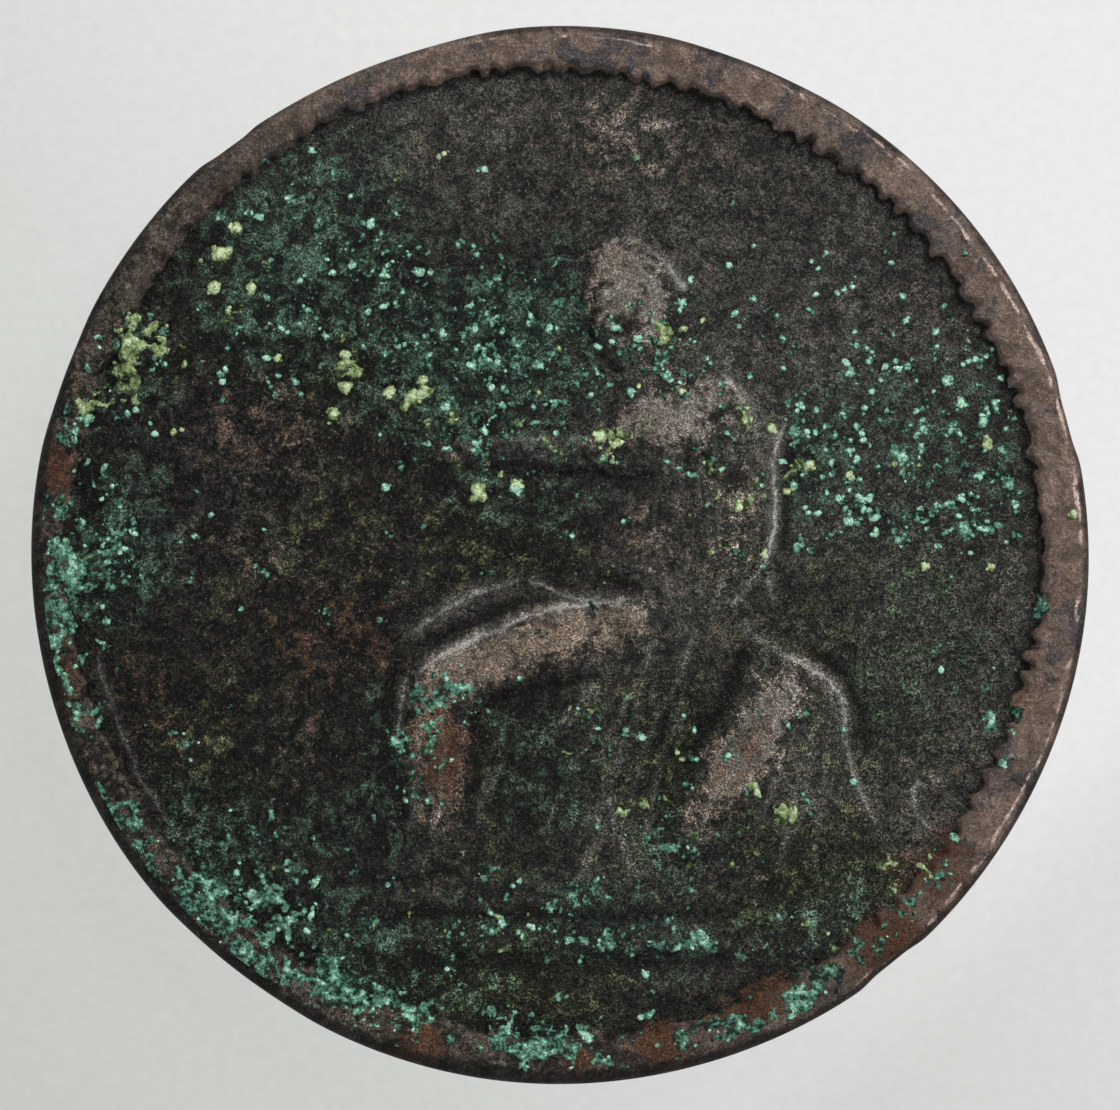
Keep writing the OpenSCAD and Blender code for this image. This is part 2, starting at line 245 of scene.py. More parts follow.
OLIVE = [
    [1.5, -6.2, 5.0, 3.6, 0, 0.65], [8.6, -3.4, 3.6, 3.2, 0, 0.6], [7.2, -8.4, 3.4, 2.2, 20, 0.8],
    [-7.0, 0.6, 3.4, 3.0, 0, 0.4], [9.6, -0.4, 2.6, 1.8, 0, 0.5], [-2.6, -11.4, 5.0, 1.5, 0, 0.85],
    [-9.4, -6.6, 2.6, 3.0, 0, 0.5], [4.6, 0.4, 1.2, 2.6, 0, 0.5], [-1.8, 0.6, 2.6, 1.6, 0, 0.5],
    [-6.2, 4.4, 2.0, 1.6, 0, 0.5],
]
GREEN = [
    [-6.6, 8.0, 3.6, 3.2, 30, 0.75], [-2.6, 5.4, 3.6, 2.0, 0, 0.9], [-0.5, 6.3, 2.2, 1.9, 0, 0.85],
    [9.6, 3.2, 3.6, 3.2, 0, 0.4], [7.0, 2.4, 1.4, 2.4, 0, 0.5], [-11.9, 0.2, 1.5, 2.4, 0, 0.8],
    [-11.6, 4.9, 1.4, 1.6, 0, 0.7], [-9.2, -8.4, 2.8, 2.2, -40, 0.6], [-5.0, -10.8, 3.4, 1.6, -20, 0.5],
    [1.4, -10.2, 5.2, 1.2, 0, 0.4], [-0.6, -5.8, 1.6, 2.0, 0, 0.45], [7.4, -10.2, 2.6, 1.4, 35, 0.45],
    [-1.9, 3.8, 3.4, 1.2, 0, 0.5], [-4.7, -5.6, 0.7, 2.4, 0, 0.5], [2.2, 5.6, 1.4, 1.0, 0, 0.4],
    [-5.4, -7.4, 2.4, 1.6, 0, 0.3], [-1.2, 1.9, 3.0, 1.0, 0, 0.45], [3.0, -8.2, 1.4, 0.9, 0, 0.4],
    [9.8, -3.0, 2.8, 3.4, 0, 0.3],
]
PURPLE = [
    [-9.2, 1.6, 3.2, 3.0, 0, 0.6], [-5.6, -0.6, 2.4, 2.2, 0, 0.3], [7.2, 10.0, 4.2, 2.4, -30, 0.5],
    [2.0, 12.0, 3.4, 1.0, 0, 0.4], [-4.4, 11.0, 3.0, 1.6, 20, 0.4], [4.8, 7.2, 2.6, 2.2, 0, 0.45],
    [2.2, 0.2, 1.4, 1.2, 0, 0.5], [10.6, 6.8, 1.6, 2.6, 30, 0.5], [11.0, -3.4, 1.6, 2.8, 0, 0.4],
]
# Grey dust and painted sheen, which lightens the field most towards the upper right
DUST_AND_SHEEN = [
    [7.5, 6.5, 8.0, 7.5, -20, 0.8], [-1.0, 11.4, 8.0, 2.6, 0, 0.8], [10.0, -3.0, 4.2, 5.6, 10, 0.95],
    [4.0, 0.4, 2.4, 3.4, 0, 0.6], [3.8, -1.4, 2.0, 1.6, 0, 1.0], [-6.8, 10.2, 3.0, 2.2, 30, 0.6],
    [7.0, -5.2, 2.6, 3.2, 0, 0.75], [2.0, 5.0, 2.6, 4.4, 0, 0.55], [9.6, -6.8, 3.4, 3.0, 30, 1.0],
    [2.4, 5.3, 1.1, 1.2, 0, 0.9], [7.6, -9.4, 2.8, 1.8, 35, 0.5], [1.6, -9.4, 5.4, 3.0, 0, 0.5],
    [0.6, -5.2, 2.6, 2.4, 0, 0.3], [2.2, -1.0, 2.2, 1.0, 0, 0.6],
]
BACK_BROWN = [[0.5, 0.5, 3.4, 2.6, 20, 0.4], [-8.4, 6.0, 2.4, 1.8, 40, 0.4],
              [7.6, -7.4, 2.6, 1.6, 40, 0.35]]
BACK_RED = [[8.2, 5.8, 2.4, 1.8, 30, 0.5], [-3.0, -10.8, 3.0, 1.0, 0, 0.5]]
BACK_OLIVE = [[2.4, 1.4, 4.6, 3.8, 0, 0.6], [-5.6, -5.4, 3.8, 3.0, 0, 0.6]]
BACK_GREEN = [[-4.2, 2.4, 3.2, 2.8, 0, 0.9], [3.8, -3.6, 2.8, 2.4, 0, 0.8], [2.2, 4.6, 2.0, 1.6, 0, 0.6]]
# Grey dust and painted sheen on the back
BACK_DUST_AND_SHEEN = [[2.0, -1.0, 8.6, 8.0, 0, 0.6]]
# Painted shade in pockets under the thigh, beside the neck and between the forms
SHADE = [
    [-0.5, -4.1, 1.1, 0.75, 8, 0.9], [1.0, 5.4, 0.3, 0.8, 25, 0.45], [-1.2, -8.2, 1.8, 0.9, 0, 0.5],
    [-0.8, -6.0, 1.0, 1.4, 0, 0.35], [6.4, -1.6, 1.2, 0.8, -20, 0.35], [9.0, -5.0, 0.7, 1.4, 0, 0.35],
    [-5.6, -3.6, 0.8, 1.6, 0, 0.35], [-1.4, 0.4, 1.8, 0.9, 0, 0.4], [8.4, -7.6, 0.7, 0.9, 0, 0.3],
    [0.6, 4.2, 0.5, 0.6, 0, 0.5], [6.0, 5.4, 0.7, 1.6, 10, 0.3],
]

# Continuous crust of teal verdigris, in the same form
TEAL_CRUST = [
    [-13.4, -0.9, 0.5, 2.2, 4, 0.95], [-13.5, 1.6, 0.45, 0.7, 0, 0.7], [-13.2, 3.6, 0.45, 0.9, 10, 0.8],
    [-12.2, 0.4, 0.55, 0.8, 0, 0.75], [-11.5, -0.4, 0.6, 0.3, 20, 0.5], [-11.6, -6.9, 0.8, 0.5, -50, 0.85],
    [-9.7, -9.3, 1.5, 0.75, -45, 1.0], [-8.2, -11.0, 1.1, 0.6, -38, 1.0],
    [-5.9, -11.6, 1.6, 0.7, -28, 1.0], [-4.4, -12.2, 0.9, 0.5, -20, 0.9], [-0.9, -13.2, 1.3, 0.6, 0, 1.05],
    [1.5, -13.4, 0.8, 0.35, 4, 0.6], [4.3, -12.7, 1.3, 0.45, 18, 0.9], [6.9, -11.6, 1.3, 0.6, 28, 0.9],
    [5.6, -12.2, 0.6, 0.4, 20, 0.7], [10.3, -8.2, 0.75, 0.5, 45, 0.75], [9.5, -9.2, 0.6, 0.4, 45, 0.6],
    [13.1, -1.2, 0.3, 0.6, 0, 0.7], [-7.6, -9.8, 0.9, 0.8, 0, 0.6], [-1.9, -12.2, 0.5, 0.3, 0, 0.7],
    [3.8, -10.45, 1.3, 0.2, -3, 1.0], [1.1, -10.4, 0.55, 0.25, 0, 0.8], [0.4, -9.3, 1.0, 0.22, 0, 0.75],
    [-2.2, -10.2, 1.3, 0.3, 0, 0.5], [-5.3, -9.9, 0.5, 0.5, 0, 0.6], [3.1, -8.0, 0.5, 0.4, 20, 0.85],
    [-3.0, -3.8, 1.0, 0.38, 12, 1.1], [-3.3, -4.9, 0.5, 0.35, 0, 0.7], [-4.3, -6.0, 0.2, 1.0, 6, 0.7],
    [1.0, -5.0, 0.35, 0.25, 0, 0.7], [0.6, -4.0, 0.3, 0.25, 0, 0.7], [-2.0, -8.5, 0.4, 0.25, 0, 0.6],
    [-2.0, 2.6, 0.6, 0.25, 0, 0.65], [1.3, 3.9, 0.4, 0.2, 0, 0.6], [1.5, 2.6, 0.35, 0.2, 0, 0.7],
    [-1.5, 3.8, 0.5, 0.25, 0, 0.7], [-1.6, 5.2, 1.3, 0.16, 0, 0.6], [5.2, 1.3, 0.2, 0.3, 0, 0.7],
    [10.9, 0.7, 0.6, 0.16, 22, 0.85], [9.2, 2.6, 0.3, 0.25, 30, 0.8], [-10.2, -5.0, 0.3, 0.3, 0, 0.7],
    [-12.4, 6.2, 0.5, 0.5, 0, 0.4], [-0.6, 6.9, 0.5, 0.5, 0, 0.4], [-13.1, -4.2, 0.4, 0.8, 20, 0.5],
    [-12.2, -6.4, 0.5, 0.7, 30, 0.5], [-11.0, -8.2, 0.6, 0.9, 40, 0.6], [-11.3, 5.6, 0.9, 0.7, 0, 0.5],
    [-10.3, -10.1, 0.7, 0.4, -45, 0.8], [8.4, -10.6, 0.8, 0.4, 38, 0.5],
]
PALE_CRUST = [
    [5.05, 3.7, 0.5, 0.13, -68, 1.0], [3.9, 2.4, 0.6, 0.12, -60, 0.8],
    [-11.0, 6.1, 0.75, 0.4, -25, 0.9], [-11.7, 5.1, 0.36, 0.9, -35, 0.95], [-12.6, 4.0, 0.5, 0.35, 0, 0.95],
    [-11.8, 4.2, 0.2, 0.3, 0, 0.8], [-8.8, 6.5, 0.2, 0.4, -15, 0.75], [-5.8, 4.8, 0.2, 0.45, 0, 0.85],
    [1.3, 3.0, 0.4, 0.3, 0, 0.95], [2.8, 6.0, 0.3, 0.25, 0, 0.85], [4.8, 1.5, 0.25, 0.35, 0, 0.85],
    [-3.9, 4.5, 0.3, 0.3, 0, 1.0], [-6.1, 3.7, 0.25, 0.2, 0, 0.85], [0.9, -4.3, 0.35, 0.15, -10, 0.85],
    [2.4, -6.8, 0.5, 0.15, 20, 0.85], [0.3, -5.1, 0.2, 0.15, 0, 0.9], [6.0, -7.1, 0.25, 0.35, 20, 0.8],
    [6.1, 2.4, 0.22, 0.2, 0, 0.85], [7.3, -10.5, 0.5, 0.3, 30, 0.45], [-12.9, -0.2, 0.2, 0.3, 0, 0.5],
    [-7.6, -10.1, 0.3, 0.25, 0, 0.5], [5.2, -6.2, 0.2, 0.2, 0, 0.7],
]

# Larger beads of corrosion: [x, y, radius]
TEAL_BEADS = [
    [7.8, 4.9, 0.17], [9.1, 5.0, 0.13], [8.4, 4.4, 0.12], [10.4, 4.7, 0.18], [10.8, 4.1, 0.17],
    [11.7, 4.1, 0.13], [11.4, 3.6, 0.2], [12.0, 3.4, 0.1], [6.5, 4.0, 0.15], [6.3, 3.3, 0.2],
    [7.4, 3.2, 0.12], [7.6, 3.8, 0.1], [9.8, 3.4, 0.15], [9.2, 2.6, 0.2], [9.7, 2.9, 0.13],
    [7.8, 2.8, 0.12], [8.0, 2.6, 0.12], [7.3, 2.5, 0.12], [11.9, 2.8, 0.14], [12.1, 1.9, 0.17],
    [10.8, 1.5, 0.14], [11.3, 2.1, 0.12], [7.5, 1.5, 0.15], [8.1, 1.5, 0.16], [8.3, 1.2, 0.12],
    [7.8, 0.9, 0.15], [8.5, 1.0, 0.15], [8.5, 0.6, 0.14], [11.8, 0.8, 0.13], [9.1, 0.4, 0.14],
    [10.1, 6.0, 0.12], [9.3, 6.3, 0.11], [5.2, 6.9, 0.11], [4.7, 6.5, 0.12], [3.5, 7.4, 0.12],
    [3.3, 6.8, 0.13], [1.5, 6.1, 0.17], [2.1, 5.8, 0.15], [1.0, 5.6, 0.12], [2.8, 4.8, 0.14],
    [3.3, 4.9, 0.12], [5.1, 4.8, 0.12], [1.9, 4.4, 0.14], [-7.3, 9.6, 0.13], [-8.1, 9.1, 0.14],
    [-5.1, 8.9, 0.17], [-5.6, 7.8, 0.13], [-6.1, 7.6, 0.12], [-6.3, 5.9, 0.12], [-6.7, 10.9, 0.12],
    [-3.8, 7.6, 0.17], [-3.1, 4.0, 0.18], [-1.2, 1.8, 0.2], [-4.7, 1.8, 0.15], [-2.4, 5.1, 0.15],
    [-0.6, 5.1, 0.17], [-0.3, 6.1, 0.15], [0.8, 4.3, 0.12], [4.5, -5.4, 0.14], [2.2, -4.9, 0.14],
    [11.9, -5.6, 0.15], [7.6, -4.7, 0.12], [7.9, -6.1, 0.11], [2.3, -11.3, 0.14], [10.6, -7.6, 0.15],
    [-12.2, -1.8, 0.14], [-7.9, 5.3, 0.12], [-4.7, 5.4, 0.12], [-9.0, 5.0, 0.1], [5.2, 8.3, 0.09],
]
PALE_BEADS = [
    [-9.1, 8.1, 0.24], [-8.7, 8.8, 0.17], [-9.3, 7.2, 0.2], [-8.3, 7.2, 0.16], [-5.8, 5.4, 0.15],
    [-4.6, 4.4, 0.18], [-3.7, 4.7, 0.16], [-3.9, 4.3, 0.2], [-2.2, 1.7, 0.26], [-1.2, 1.9, 0.16],
    [-6.1, 3.8, 0.17], [11.5, 3.0, 0.16], [7.8, 2.1, 0.14], [6.7, 2.4, 0.17], [9.8, -0.3, 0.12],
    [11.6, -0.3, 0.12], [5.7, 3.4, 0.14], [6.1, 1.7, 0.12], [5.5, 0.0, 0.12], [13.8, 1.1, 0.14],
    [1.1, 3.2, 0.2], [1.5, 3.0, 0.17], [-7.6, 5.3, 0.12], [4.8, 1.3, 0.15], [-5.8, 4.5, 0.18],
    [6.3, -6.9, 0.12], [5.3, -6.4, 0.12], [2.8, 5.8, 0.15],
]
# Clouds of small beads: [x, y, half width, half height, number, share that is pale]
BACK_CLOUDS = [
    [-4.2, 2.4, 2.2, 2.2, 170, 0], [3.8, -3.6, 1.8, 1.8, 130, 0], [2.2, 4.6, 1.2, 1.2, 50, 1],
]
BEAD_CLOUDS = [
    [9.4, 3.2, 3.2, 3.0, 310, 0.03], [11.0, 1.0, 1.5, 1.7, 100, 0.02], [7.2, 2.2, 1.5, 2.4, 110, 0.04],
    [-1.6, 5.3, 3.0, 1.5, 170, 0.04], [-6.2, 7.8, 2.6, 2.6, 120, 0.08], [-2.6, 7.6, 2.6, 1.4, 60, 0.02],
    [-12.0, 0.3, 0.9, 1.4, 50, 0.05], [-8.2, -9.2, 1.7, 1.8, 80, 0.05], [-2.0, -10.2, 5.2, 1.1, 80, 0.08],
    [-3.3, -4.6, 1.1, 1.6, 30, 0.03], [1.0, -4.6, 1.0, 1.3, 24, 0.2], [4.6, -6.6, 3.0, 2.4, 60, 0.12],
    [2.6, 5.6, 1.7, 1.6, 80, 0.1], [4.2, 2.6, 1.6, 2.2, 50, 0.15], [-2.4, 2.9, 3.0, 1.2, 70, 0.12],
    [0.0, 0.0, 12.4, 12.4, 300, 0.05], [8.0, 7.0, 3.4, 2.4, 80, 0.03], [-9.6, 4.6, 2.4, 1.8, 40, 0.2],
]
# Where the corrosion grows in small irregular flecks, in the same form as the crusts
TEAL_FLECKS = [
    [-6.6, 7.6, 3.2, 3.2, 20, 0.8], [-2.2, 5.5, 3.8, 1.7, 0, 1.0], [-1.4, 7.4, 2.4, 1.2, 0, 0.6],
    [-1.4, 3.6, 3.4, 1.2, 0, 0.7], [0.4, -10.0, 6.4, 1.1, 0, 1.0], [-8.4, -8.8, 3.0, 2.4, -40, 1.1],
    [-2.8, -4.9, 1.5, 2.0, 0, 0.9], [-4.6, -5.4, 0.5, 2.2, 5, 1.0], [8.8, -9.8, 2.6, 1.1, 40, 0.9],
    [-12.8, -1.0, 0.9, 4.4, 0, 1.0], [9.6, 2.6, 3.2, 2.8, 0, 0.65], [2.6, 4.8, 2.2, 1.9, 0, 0.7],
    [3.6, -8.0, 1.2, 0.9, 20, 0.9], [-1.0, -12.6, 8.0, 0.9, 0, 0.95], [6.4, 2.0, 1.0, 2.6, 0, 0.7],
    [-12.4, 3.6, 1.1, 2.4, 10, 0.9], [1.0, -4.6, 1.2, 1.2, 0, 0.4], [12.0, -4.6, 0.9, 2.6, 10, 0.6],
]
PALE_FLECKS = [
    [-10.8, 5.6, 1.9, 1.5, 0, 0.8], [-6.0, 5.0, 1.5, 1.2, 0, 0.6], [4.4, 1.6, 1.4, 1.5, 0, 0.75],
    [4.6, -7.2, 3.0, 1.8, 0, 0.5], [8.4, -9.2, 2.4, 1.0, 42, 0.9], [-4.0, -9.4, 5.0, 1.6, 0, 0.5],
    [0.8, -4.6, 1.4, 0.9, 0, 0.55], [-8.8, 7.4, 1.4, 1.8, 0, 0.6], [-2.0, 3.0, 3.4, 1.6, 0, 0.5],
]


# ---------------- noise
def value_noise(x, y, cell, seed):
    """Smooth random values from -1 to 1 that change over one cell."""
    size = 256
    table = np.random.default_rng(seed).uniform(-1, 1, (size, size))
    u = x / cell
    v = y / cell
    i = np.floor(u).astype(int)
    j = np.floor(v).astype(int)
    a = smooth(u - i)
    b = smooth(v - j)
    i0, i1, j0, j1 = i % size, (i + 1) % size, j % size, (j + 1) % size
    near = table[i0, j0] * (1 - a) + table[i1, j0] * a
    far = table[i0, j1] * (1 - a) + table[i1, j1] * a
    return near * (1 - b) + far * b


def fbm(x, y, cell, octaves, seed):
    """Fractal noise, mostly within -1 to 1. Each octave is turned, and its cells are half as wide."""
    total = np.zeros_like(x)
    weight = 1.0
    for k in range(octaves):
        turn = seed + 0.9 * k
        u = x * math.cos(turn) - y * math.sin(turn)
        v = x * math.sin(turn) + y * math.cos(turn)
        total += weight * value_noise(u, v, cell / 2 ** k, 31 * seed + k)
        weight *= 0.55
    return total


def smooth(t):
    """Smoothstep of t, which is clamped to 0..1."""
    t = np.clip(t, 0, 1)
    return t * t * (3 - 2 * t)


# ---------------- shaping
def by_angle(angle, knots):
    """A value between listed knots round the token. angle is in degrees."""
    places, values = zip(*knots)
    return np.interp(angle % 360, places, values)


def along_across(x, y, direction):
    """The points' distances along a direction, which is in degrees, and across it."""
    c = math.cos(math.radians(direction))
    s = math.sin(math.radians(direction))
    return x * c + y * s, y * c - x * s


def patches(x, y, spots):
    """The strongest of the soft patches at each point, from 0 to about 1."""
    best = np.zeros_like(x)
    for px, py, half_w, half_h, turn, strength in spots:
        u, v = along_across(x - px, y - py, turn)
        u = u / half_w
        v = v / half_h
        best = np.maximum(best, strength * np.exp(-(u * u + v * v) ** 1.4))
    return best


def warped(x, y, reach, cell, seed):
    """The points moved about by noise, which roughens whatever is drawn at them."""
    return x + reach * fbm(x, y, cell, 4, seed), y + reach * fbm(x, y, cell, 4, seed + 50)


def rounded_path(points, per_span=6):
    """A Catmull-Rom curve through the points."""
    p = np.array([points[0]] + points + [points[-1]], float)
    out = []
    for a, b, c, d in zip(p, p[1:], p[2:], p[3:]):
        for k in range(per_span):
            t = k / per_span
            out.append(0.5 * (2 * b + (c - a) * t + (2 * a - 5 * b + 4 * c - d) * t * t
                              + (3 * b - a - 3 * c + d) * t ** 3))
    out.append(p[-1])
    return np.array(out)


def stroke(x, y, points, half_width):
    """A soft line along a curve: 1 on it, fading over half_width and towards both ends."""
    path = rounded_path(points)
    reach = 3 * half_width
    low = path.min(0) - reach
    high = path.max(0) + reach
    inside = (x > low[0]) & (x < high[0]) & (y > low[1]) & (y < high[1])
    px = x[inside]
    py = y[inside]
    nearest = np.full(px.shape, 1e9)
    share = np.zeros(px.shape)
    spans = len(path) - 1
    for k in range(spans):
        a = path[k]
        step = path[k + 1] - a
        t = np.clip(((px - a[0]) * step[0] + (py - a[1]) * step[1]) / (step @ step + 1e-12), 0, 1)
        gap = (px - a[0] - t * step[0]) ** 2 + (py - a[1] - t * step[1]) ** 2
        closer = gap < nearest
        nearest[closer] = gap[closer]
        share[closer] = ((k + t) / spans)[closer]
    out = np.zeros_like(x)
    fade = smooth(share * 6 + 0.15) * smooth((1 - share) * 6 + 0.15)
    out[inside] = np.exp(-nearest / half_width ** 2) * fade
    return out


def limb(x, y, spec):
    """Height of one limb as a share of FIGURE_H, below zero outside it."""
    x0, y0, r0, x1, y1, r1, share = spec
    dx = x1 - x0
    dy = y1 - y0
    t = np.clip(((x - x0) * dx + (y - y0) * dy) / (dx * dx + dy * dy), 0, 1)
    r = r0 + t * (r1 - r0)
    d2 = ((x - x0 - t * dx) ** 2 + (y - y0 - t * dy) ** 2) / (r * r)
    return share * (1 - 0.5 * d2 - 0.5 * d2 * d2)


def figure_height(x, y):
    """The figure above the field: its limbs melted into each other, and flattened by wear."""
    wx, wy = warped(x, y, 0.1, 0.9, 3)
    near = (np.abs(x - 1.5) < 9) & (np.abs(y) < 11)  # no limb reaches further
    total = np.zeros(int(near.sum()))
    for spec in LIMBS:
        h = np.clip(FIGURE_H * limb(wx[near], wy[near], spec), -0.3, None)
        total += np.exp(h / LIMB_BLEND)
    out = np.zeros_like(x)
    melted = LIMB_BLEND * np.log(total + 1)
    share_left = 0.45
    out[near] = np.where(melted > WORN_H, WORN_H + (melted - WORN_H) * share_left, melted)
    return out


def fan_folds(x, y):
    """The fans of fine folds: their height above the limbs, and where they are, from 0 to 1."""
    h = np.zeros_like(x)
    crest = np.zeros_like(x)
    wx, wy = warped(x, y, 0.07, 0.8, 19)
    for number, height, half_width, first, last in FOLD_FANS:
        for k in range(number):
            share = k / (number - 1)
            points = [[p[0] + share * (q[0] - p[0]), p[1] + share * (q[1] - p[1])]
                      for p, q in zip(first, last)]
            line = stroke(wx, wy, points, half_width)
            h += height * line
            crest = np.maximum(crest, line)
    return h, crest


def creases(x, y):
    """Fine irregular folds in the cloth, from about -1 to 1, which fade out beyond it."""
    total = np.zeros_like(x)
    bend = 0.3 * fbm(x, y, 2.0, 2, 35)
    squeeze = 0.2  # makes the creases longer than they're wide
    for direction, spots in CREASED:
        along, across = along_across(x, y, direction)
        total += patches(x, y, spots) * fbm(along * squeeze, across + bend, 0.45, 3, 37)
    return total


def relief(x, y):
    """Everything that was struck into the front field, above its level."""
    h = figure_height(x, y) + fan_folds(x, y)[0] + 0.02 * creases(x, y)
    for height, half_width, _, points in RIDGES:
        h += height * stroke(x, y, points, half_width)
    for depth, half_width, points in GROOVES:
        h -= depth * stroke(x, y, points, half_width)
    scratch_depth = 0.012
    scratch_half_width = 0.035
    for x0, y0, x1, y1 in SCRATCHES:
        h -= scratch_depth * stroke(x, y, [[x0, y0], [x1, y1]], scratch_half_width)
    mid_x, mid_y, half_l, half_w, height = BAR
    across = smooth((half_w - np.abs(y - mid_y)) / 0.2 + 0.5)
    along = smooth((half_l - np.abs(x - mid_x)) / 0.5 + 0.5)
    return h + height * across * along


def teeth(angle):
    """The border teeth round the token, from 0 in a gap to 1 on a tooth."""
    wobble = 1.8 * fbm(angle * 0.12, angle * 0, 1.0, 3, 8)
    wave = np.cos(np.radians(angle * TOOTH_COUNT) + wobble)
    uneven = 0.8 + 0.6 * fbm(angle * 0.3, angle * 0, 1.0, 3, 9)
    return smooth(0.55 + 0.6 * wave) * uneven * by_angle(angle, TOOTH_WEAR)


def rim_inner(x, y):
    """Radius of the front rim's inner edge in the direction of each point, with its teeth."""
    angle = np.degrees(np.arctan2(y, x))
    ragged = 0.06 * fbm(x, y, 1.2, 3, 5) + 0.07 * fbm(x, y, 0.28, 2, 6)
    return by_angle(angle, RIM_INNER) + ragged - 0.2 * (teeth(angle) - 0.4)


def rim_share(beyond):
    """From 0 in the field to 1 on the rim, by the distance beyond the rim's inner edge."""
    return smooth(beyond / 0.26 + 0.15)


def rim_fall(r):
    """How far a rim lies below its highest level, because its section is rounded."""
    return 0.035 * ((r - RIM_MIDDLE) / 0.6) ** 2


def front_height(x, y):
    """Height of the front face at each point."""
    r = np.hypot(x, y)
    inner = rim_inner(x, y)
    rim = rim_share(r - inner)
    unevenness = 0.012
    rim_top = TOP - FIELD_Z - rim_fall(r) - unevenness + unevenness * fbm(x, y, 0.9, 3, 7)
    gutter = 0.03 * np.exp(-((r - inner + 0.3) / 0.28) ** 2)
    design = relief(x, y) * smooth((13.1 - r) / 0.5)  # fades out under the rim
    field = design - gutter
    corroded = np.maximum(patches(x, y, GREEN), patches(x, y, OLIVE))
    waves = 0.016 * fbm(x, y, 2.6, 4, 11)
    roughness = (0.007 + 0.012 * corroded) * fbm(x, y, 0.4, 3, 13)
    field += waves + roughness
    pit_depth = 0.018
    pits = smooth((fbm(x, y, 0.42, 3, 17) - 0.62) / 0.3)
    return FIELD_Z + field * (1 - rim) + rim_top * rim - pit_depth * pits


def back_rim_inner(x, y):
    """Radius of the back rim's inner edge in the direction of each point, with its teeth."""
    angle = np.degrees(np.arctan2(y, x)) + 31  # so that they aren't worn where the front's are
    return BACK_RIM_INNER + 0.05 * fbm(x, y, 1.6, 2, 25) - 0.15 * (teeth(angle) - 0.4)


def wreath(x, y):
    """The back's worn wreath: its leaves and its stem, each from 0 to 1."""
    pairs = 22
    r = np.hypot(x, y)
    turn = np.arctan2(y, x) * pairs / 2
    slant = (r - WREATH_R) * 1.6
    leaf = np.abs(np.sin(turn + slant)) + np.abs(np.sin(turn - slant))
    leaf *= np.exp(-((r - 8.6) / 1.15) ** 4)
    return np.clip(leaf - 0.9, 0, 1), np.exp(-((r - WREATH_R) / 0.12) ** 2)


def back_height(x, y):
    """Height of the back face: rim, teeth and a worn wreath, with +Z into the metal."""
    r = np.hypot(x, y)
    rim = rim_share(r - back_rim_inner(x, y))
    leaf, stem = wreath(x, y)
    struck = 0.08 * leaf + 0.03 * stem
    field = BACK_Z - struck + 0.016 * fbm(x, y, 2.6, 4, 27) + 0.006 * fbm(x, y, 0.32, 2, 29)
    rim_low = rim_fall(r) + 0.012 * (1 + fbm(x, y, 0.9, 3, 31)) * 0.5
    return field * (1 - rim) + rim_low * rim


# ---------------- meshes
def disc_grid(cells):
    """A square grid of (cells + 1) squared points mapped onto the unit disc, ring by ring."""
    s = np.linspace(-1, 1, cells + 1)
    u, v = np.meshgrid(s, s)
    steep = np.abs(v) > np.abs(u)
    r = np.where(steep, v, u)
    safe = np.where(r == 0, 1, r)
    phi = np.where(steep, math.pi / 2 - math.pi / 4 * u / safe, math.pi / 4 * v / safe)
    return (r * np.cos(phi)).ravel(), (r * np.sin(phi)).ravel()


def grid_quads(cells):
    """Faces of the grid, counter-clockwise from above."""
    i, j = np.meshgrid(np.arange(cells), np.arange(cells))
    k = (j * (cells + 1) + i).ravel()
    return np.stack([k, k + 1, k + cells + 2, k + cells + 1], 1)


def grid_border(cells):
    """Indices of the grid's outermost ring, counter-clockwise from the low left corner."""
    n = cells + 1
    low = np.arange(cells)
    right = np.arange(cells) * n + cells
    high = cells * n + np.arange(cells, 0, -1)
    left = np.arange(cells, 0, -1) * n
    return np.concatenate([low, right, high, left])


def outline(angle):
    """Radius of the token's edge, which is round but for a few dents. angle is in degrees."""
    r = np.full_like(angle, NOMINAL_R)
    for place, half_width, depth in DENTS:
        gap = (angle - place + 180) % 360 - 180
        r -= depth * np.exp(-(gap / half_width) ** 4)
    wander = np.radians(angle)
    return r - 0.02 * (1 + np.sin(5 * wander) * np.sin(3 * wander + 1))


def face_points(cells):
    """The points of a face in plan, from its middle to where the edge starts to round."""
    x, y = disc_grid(cells)
    angle = np.degrees(np.arctan2(y, x))
    r = np.hypot(x, y)
    reach = outline(angle) - EDGE_ROUND
    scale = (NOMINAL_R - EDGE_ROUND) * (1 - r ** 6) + reach * r ** 6
    return x * scale, y * scale


def edge_rings(x, y, z_top, z_low, steps=5, sides=5):
    """Rings of points from the front face's border round the edge to the back's level."""
    r = np.hypot(x, y)
    angle = np.degrees(np.arctan2(y, x))
    radius = outline(angle)
    rough = angle * 0.25
    rings = []
    # over the front's rounded corner
    for k in range(1, steps + 1):
        lean = math.pi / 2 * k / steps
        out = EDGE_ROUND * math.sin(lean)
        drop = EDGE_ROUND * (1 - math.cos(lean))
        rings.append((radius - EDGE_ROUND + out, z_top - drop))
    # down the side
    for k in range(1, sides):
        share = k / sides
        z = (z_top - EDGE_ROUND) * (1 - share) + (z_low + EDGE_ROUND) * share
        ding = 0.02 * np.clip(fbm(rough, z * 2, 0.5, 3, 41), -1, 1) - 0.012
        rings.append((radius + ding, z))
    # in under the back's rounded corner
    for k in range(steps):
        lean = math.pi / 2 * k / steps
        out = EDGE_ROUND * math.cos(lean)
        drop = EDGE_ROUND * (1 - math.sin(lean))
        rings.append((radius - EDGE_ROUND + out, z_low + drop))
    return [np.stack([x / r * ring, y / r * ring, z], 1) for ring, z in rings]


def ring_quads(upper, lower):
    """Faces between two rings of the same number of points."""
    return np.stack([upper, lower, np.roll(lower, -1), np.roll(upper, -1)], 1)


